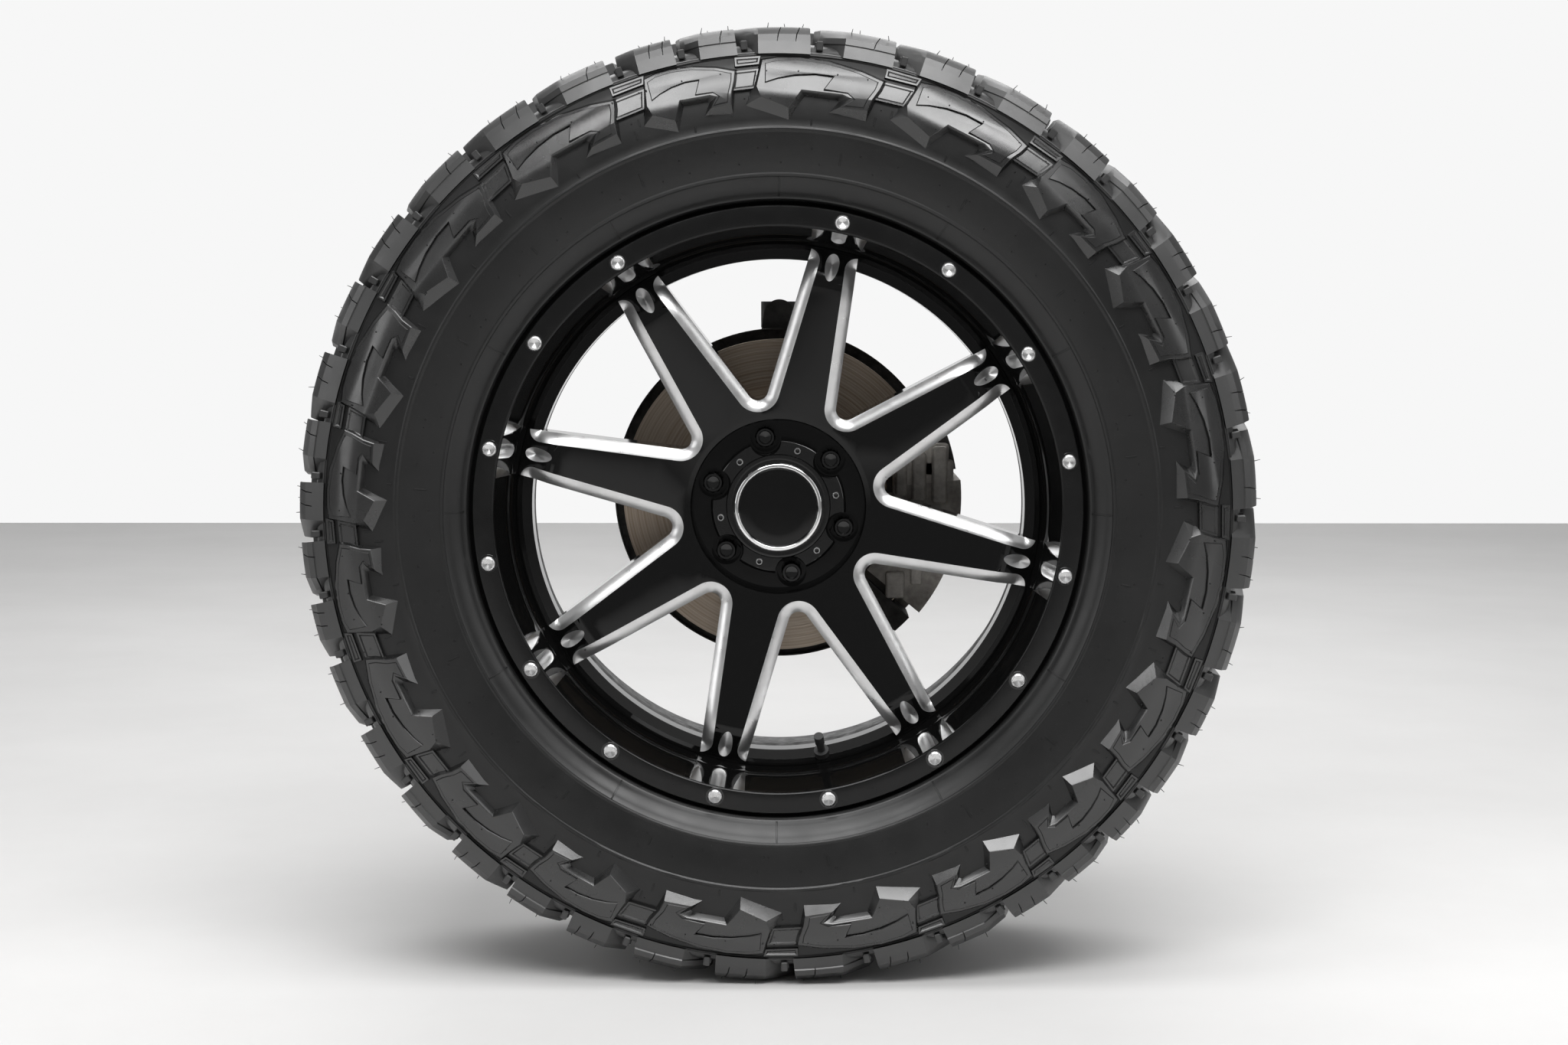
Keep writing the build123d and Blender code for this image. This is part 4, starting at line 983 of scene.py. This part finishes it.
def treadLug(pitch, kind, side):
    outline, sipes = lug[kind]
    shoulder = kind in lug["ends"]
    part = bmesh.new()
    middle = sum(share for share, out in outline) / len(outline)
    corners = [part.verts.new(((share - middle) * pitch * unroll, out, lug["root"]))
               for share, out in outline]
    face = facedUp(part.faces.new(corners))
    step(part, face, lug["slope"], tyre["crown"] - lug["root"] - lug["edge"])
    step(part, face, lug["edge"], lug["edge"])
    left, right = (pick(vertex.co.x for vertex in part.verts) for pick in (min, max))
    end = max((vertex.co.y for vertex in part.verts), key=abs)
    if shoulder:
        end = lug["sipeEnd"]
        for cut in lug["outCuts"]:
            cutAt(part, (0, cut, 0), (0, 1, 0))
        for cut in lug["highCuts"]:
            cutAt(part, (0, 0, cut), (0, 0, 1))
        for vertex in part.verts:
            share = max(0, min(1, (vertex.co.y - lug["shearFrom"]) / lug["shearReach"]))
            vertex.co.y -= (lug["tip"] - between(vertex.co.z, lug["ends"][kind])) * share
    skew = copysign(lug["sipeSkew"] * pitch * unroll / lug["sipeRun"], end)
    for share in sipes:
        way = Vector((1, skew, 0)).normalized()
        cutSipe(part, (share - middle) * pitch * unroll, end, way, shoulder)
    # cuts along the tread let the lug bend round the tyre
    bends = int((right - left) / lug["bend"])
    for i in range(1, bends):
        cutAt(part, (mix(left, right, i / bends), 0, 0), (1, 0, 0))
    for vertex in part.verts:
        run, out, high = vertex.co
        high -= between(abs(out), lug["crowning"]) * (high > lug["crownFrom"])
        vertex.co = clock(high, middle * pitch + run / unroll, tyre["centre"] - out * side)
    return part


# Stone ribs stand on the floor of each shoulder groove.
stoneRib = {
    "places": [(0.371, 148), (0.361, 138), (0.886, 148), (0.876, 138)],
    "size": (7.0, 4.5, 9), "radius": 450, "edge": 0.9,
}


def lugPitch(pitch):
    whole = bmesh.new()
    for side in (1, -1):
        for kind in ("long", "short"):
            join(whole, treadLug(pitch, kind, side))
    for kind in ("outer", "inner", "outerSmall", "innerSmall"):
        join(whole, treadLug(pitch, kind, 1))
    for share, out in stoneRib["places"]:
        part = block(stoneRib["size"], stoneRib["edge"], 1)
        for vertex in part.verts:
            run, wide, high = vertex.co
            vertex.co = clock(stoneRib["radius"] + high, share * pitch + run / unroll,
                              tyre["centre"] - out - wide)
        join(whole, part)
    return whole


bm = bmesh.new()
aroundTyre(bm, lugPitch)
finishPiece("treadLugs", bm, [treadRubber], sharp=24)

# Traces of the mould: rubber hairs on the lugs, dots on the sidewall and short radial lines.
vent = {
    # share of the pitch, distance from the tread's middle and radius of each hair
    "hairs": [(0.06, 140, 466.5), (0.26, 132, 467), (0.55, 134, 467), (0.77, 138, 466.5),
              (0.16, 112, 468), (0.60, 104, 468.4)],
    "hair": 0.45, "long": 5.0,
    # radius of each row of dots and how widely they are set
    "rows": [(338, 1.7), (352, 1.3), (398, 0.8), (424, 0.9)], "dot": 0.8, "gap": 5.2,
    "clawFrom": 390, "upperFrom": 415,
    # lines by share of the pitch, from and to a radius, then bars round the bead and loose lines
    "lines": [(-0.2, 383, 391), (0.9, 394, 401), (0.36, 374, 379)], "line": 0.55,
    "bars": 12, "barTurn": 0.2, "barLow": 306, "barHigh": 324.5,
    "loose": 15, "looseLow": 340, "looseHigh": 346,
}
dice = random.Random(37)
bm = bmesh.new()
for letter, start, pitch in pitchList:
    for share, out, radius in vent["hairs"]:
        angle = start + share * pitch
        foot = clock(radius, angle, tyre["centre"] - out)
        way = clock(1, angle + dice.uniform(-25, 25), dice.uniform(-0.3, 0.3))
        hair = way * vent["long"] * dice.uniform(0.5, 1.2)
        part = cone(5, vent["hair"], 0.6, hair.length)
        bmesh.ops.rotate(part, cent=(0, 0, 0), verts=part.verts,
                         matrix=hair.to_track_quat("Z", "Y").to_matrix())
        bmesh.ops.translate(part, vec=foot + hair / 2, verts=part.verts)
        join(bm, part)
    for radius, wide in vent["rows"]:
        gap = vent["gap"] * wide
        raised = between(radius, sideLine)
        if radius > vent["clawFrom"]:
            raised = claw["face"] + between(radius, claw["curve"])
        if radius > vent["upperFrom"]:
            raised -= claw["upperRise"]
        for i in range(int(pitch / gap) + 1):
            angle = start + (i + dice.uniform(0, 0.4)) * gap
            part = cone(6, vent["dot"], 0.5, 1.0)
            bmesh.ops.translate(part, vec=clock(radius, angle, raised - 0.2), verts=part.verts)
            join(bm, part)
lines = [(start + share * pitch, low, high) for letter, start, pitch in pitchList
         for share, low, high in vent["lines"]]
lines += [(angle, vent["barLow"], vent["barHigh"])
          for angle in spread(vent["bars"], vent["barTurn"])]
lines += [(angle + dice.uniform(0, 12), vent["looseLow"], vent["looseHigh"] + dice.uniform(2, 7))
          for angle in spread(vent["loose"])]
for angle, low, high in lines:
    part = bmesh.new()
    rows = []
    for i in range(7):
        radius = mix(low, high, i / 6)
        top = between(radius, sideLine) - vent["line"]
        foot = top + 2 * vent["line"]
        half = degrees(vent["line"] / radius)
        rows.append([clock(radius, angle + shift * half, depth)
                     for shift, depth in ((-2, foot), (-1, top), (1, top), (2, foot))])
    loft(part, rows)
    join(bm, part)
finishPiece("mouldVents", bm, [sideRubber])

stage = {
    "size": 9.0, "shade": 0.70, "floorDark": (0.67, 0.665, 0.66), "floorLight": (0.74, 0.735, 0.73),
    "below": 0.0005, "wall": 4.45, "wallWhite": 0.93,
}


def panel(name, finish, upright, place):
    # a square flat sheet of the stage's size, lying or standing
    bm = bmesh.new()
    bmesh.ops.create_grid(bm, x_segments=1, y_segments=1, size=stage["size"] / 2)
    if upright:
        bmesh.ops.rotate(bm, cent=(0, 0, 0), verts=bm.verts,
                         matrix=Matrix.Rotation(radians(90), 3, "X"))
    bmesh.ops.translate(bm, verts=bm.verts, vec=place)
    mesh = bpy.data.meshes.new(name)
    bm.to_mesh(mesh)
    bm.free()
    mesh.materials.append(finish.material)
    return addObject(name, mesh)


floorFinish = Finish("paleFloor", (stage["shade"],) * 3, 0.55)
floorFinish.paint(floorFinish.noise(1.4, 8), (0.3, stage["floorDark"]), (0.7, stage["floorLight"]))
floor = panel("floor", floorFinish, False, (0, 0, floorLevel - stage["below"]))

# The wall behind is white to the camera, to reflections and through glass, and plain to light.
wallFinish = Finish("paleWall", (stage["shade"],) * 3, 0.8)
tree = wallFinish.tree
rays = addNode(tree, "LightPath", {})
seen = rays["Is Camera Ray"]
for ray in ("Is Glossy Ray", "Is Transmission Ray"):
    seen = addNode(tree, "Math", {0: seen, 1: rays[ray]}, operation="MAXIMUM")[0]
glow = addNode(tree, "Emission", {"Strength": stage["wallWhite"]})[0]
shown = addNode(tree, "MixShader", {0: seen, 1: wallFinish.shader.outputs[0], 2: glow})[0]
tree.links.new(shown, tree.nodes["Material Output"].inputs["Surface"])
wall = panel("backWall", wallFinish, True, (0, stage["wall"], stage["size"] / 2 + floorLevel))

light = {
    # strength of the world to plain light, to reflections, and where it is looked at
    "worldLevel": 0.20, "worldShine": 0.26, "worldWhite": 0.93,
    # name, place, aimed at, width, height, power
    "lamps": [
        ("topSoftbox", (0.25, -1.9, 2.3), (0, -0.28, 0.45), 3.0, 1.0, 80),
        ("overheadSoftbox", (0.0, -0.75, 2.9), (0, -0.3, 0.2), 2.6, 0.8, 40),
        ("leftSoftbox", (-3.2, -1.8, 1.2), (0, -0.2, 0.1), 1.0, 2.2, 17),
        ("rightSoftbox", (3.2, -1.4, 1.4), (0, -0.2, 0.1), 1.0, 2.4, 16),
        ("backSoftbox", (0.0, 2.4, 2.8), (0, 1.2, 0.0), 3.6, 1.6, 62),
    ],
}
for name, place, aim, width, height, power in light["lamps"]:
    lamp = bpy.data.lights.new(name, "AREA")
    lamp.shape = "RECTANGLE"
    lamp.size = width
    lamp.size_y = height
    lamp.energy = power
    holder = addObject(name, lamp)
    holder.location = place
    holder.rotation_euler = (Vector(aim) - Vector(place)).to_track_quat("-Z", "Y").to_euler()

world = bpy.data.worlds.new("studio")
bpy.context.scene.world = world
world.use_nodes = True
tree = world.node_tree
tree.nodes.clear()
rays = addNode(tree, "LightPath", {})
white = {"Color": (1, 1, 1, 1)}
shown = addNode(tree, "Background", {**white, "Strength": light["worldLevel"]})[0]
for ray, level in (("Is Glossy Ray", "worldShine"), ("Is Transmission Ray", "worldWhite"),
                   ("Is Camera Ray", "worldWhite")):
    sky = addNode(tree, "Background", {**white, "Strength": light[level]})[0]
    shown = addNode(tree, "MixShader", {0: rays[ray], 1: shown, 2: sky})[0]
addNode(tree, "OutputWorld", {"Surface": shown})
bpy.context.scene.view_settings.view_transform = "Standard"

view = {
    "back": 2.633, "right": 0.015, "above": 0.348, "down": 5.53, "left": 0.22,
    "lens": 55.5, "film": 36, "far": 50,
}
camera = bpy.data.cameras.new("camera")
camera.lens = view["lens"]
camera.sensor_width = view["film"]
camera.clip_end = view["far"]
eye = addObject("camera", camera)
eye.location = (view["right"], -view["back"], view["above"])
eye.rotation_euler = (radians(90 - view["down"]), 0, radians(view["left"]))
bpy.context.scene.camera = eye
print("camera, floor and light placed")
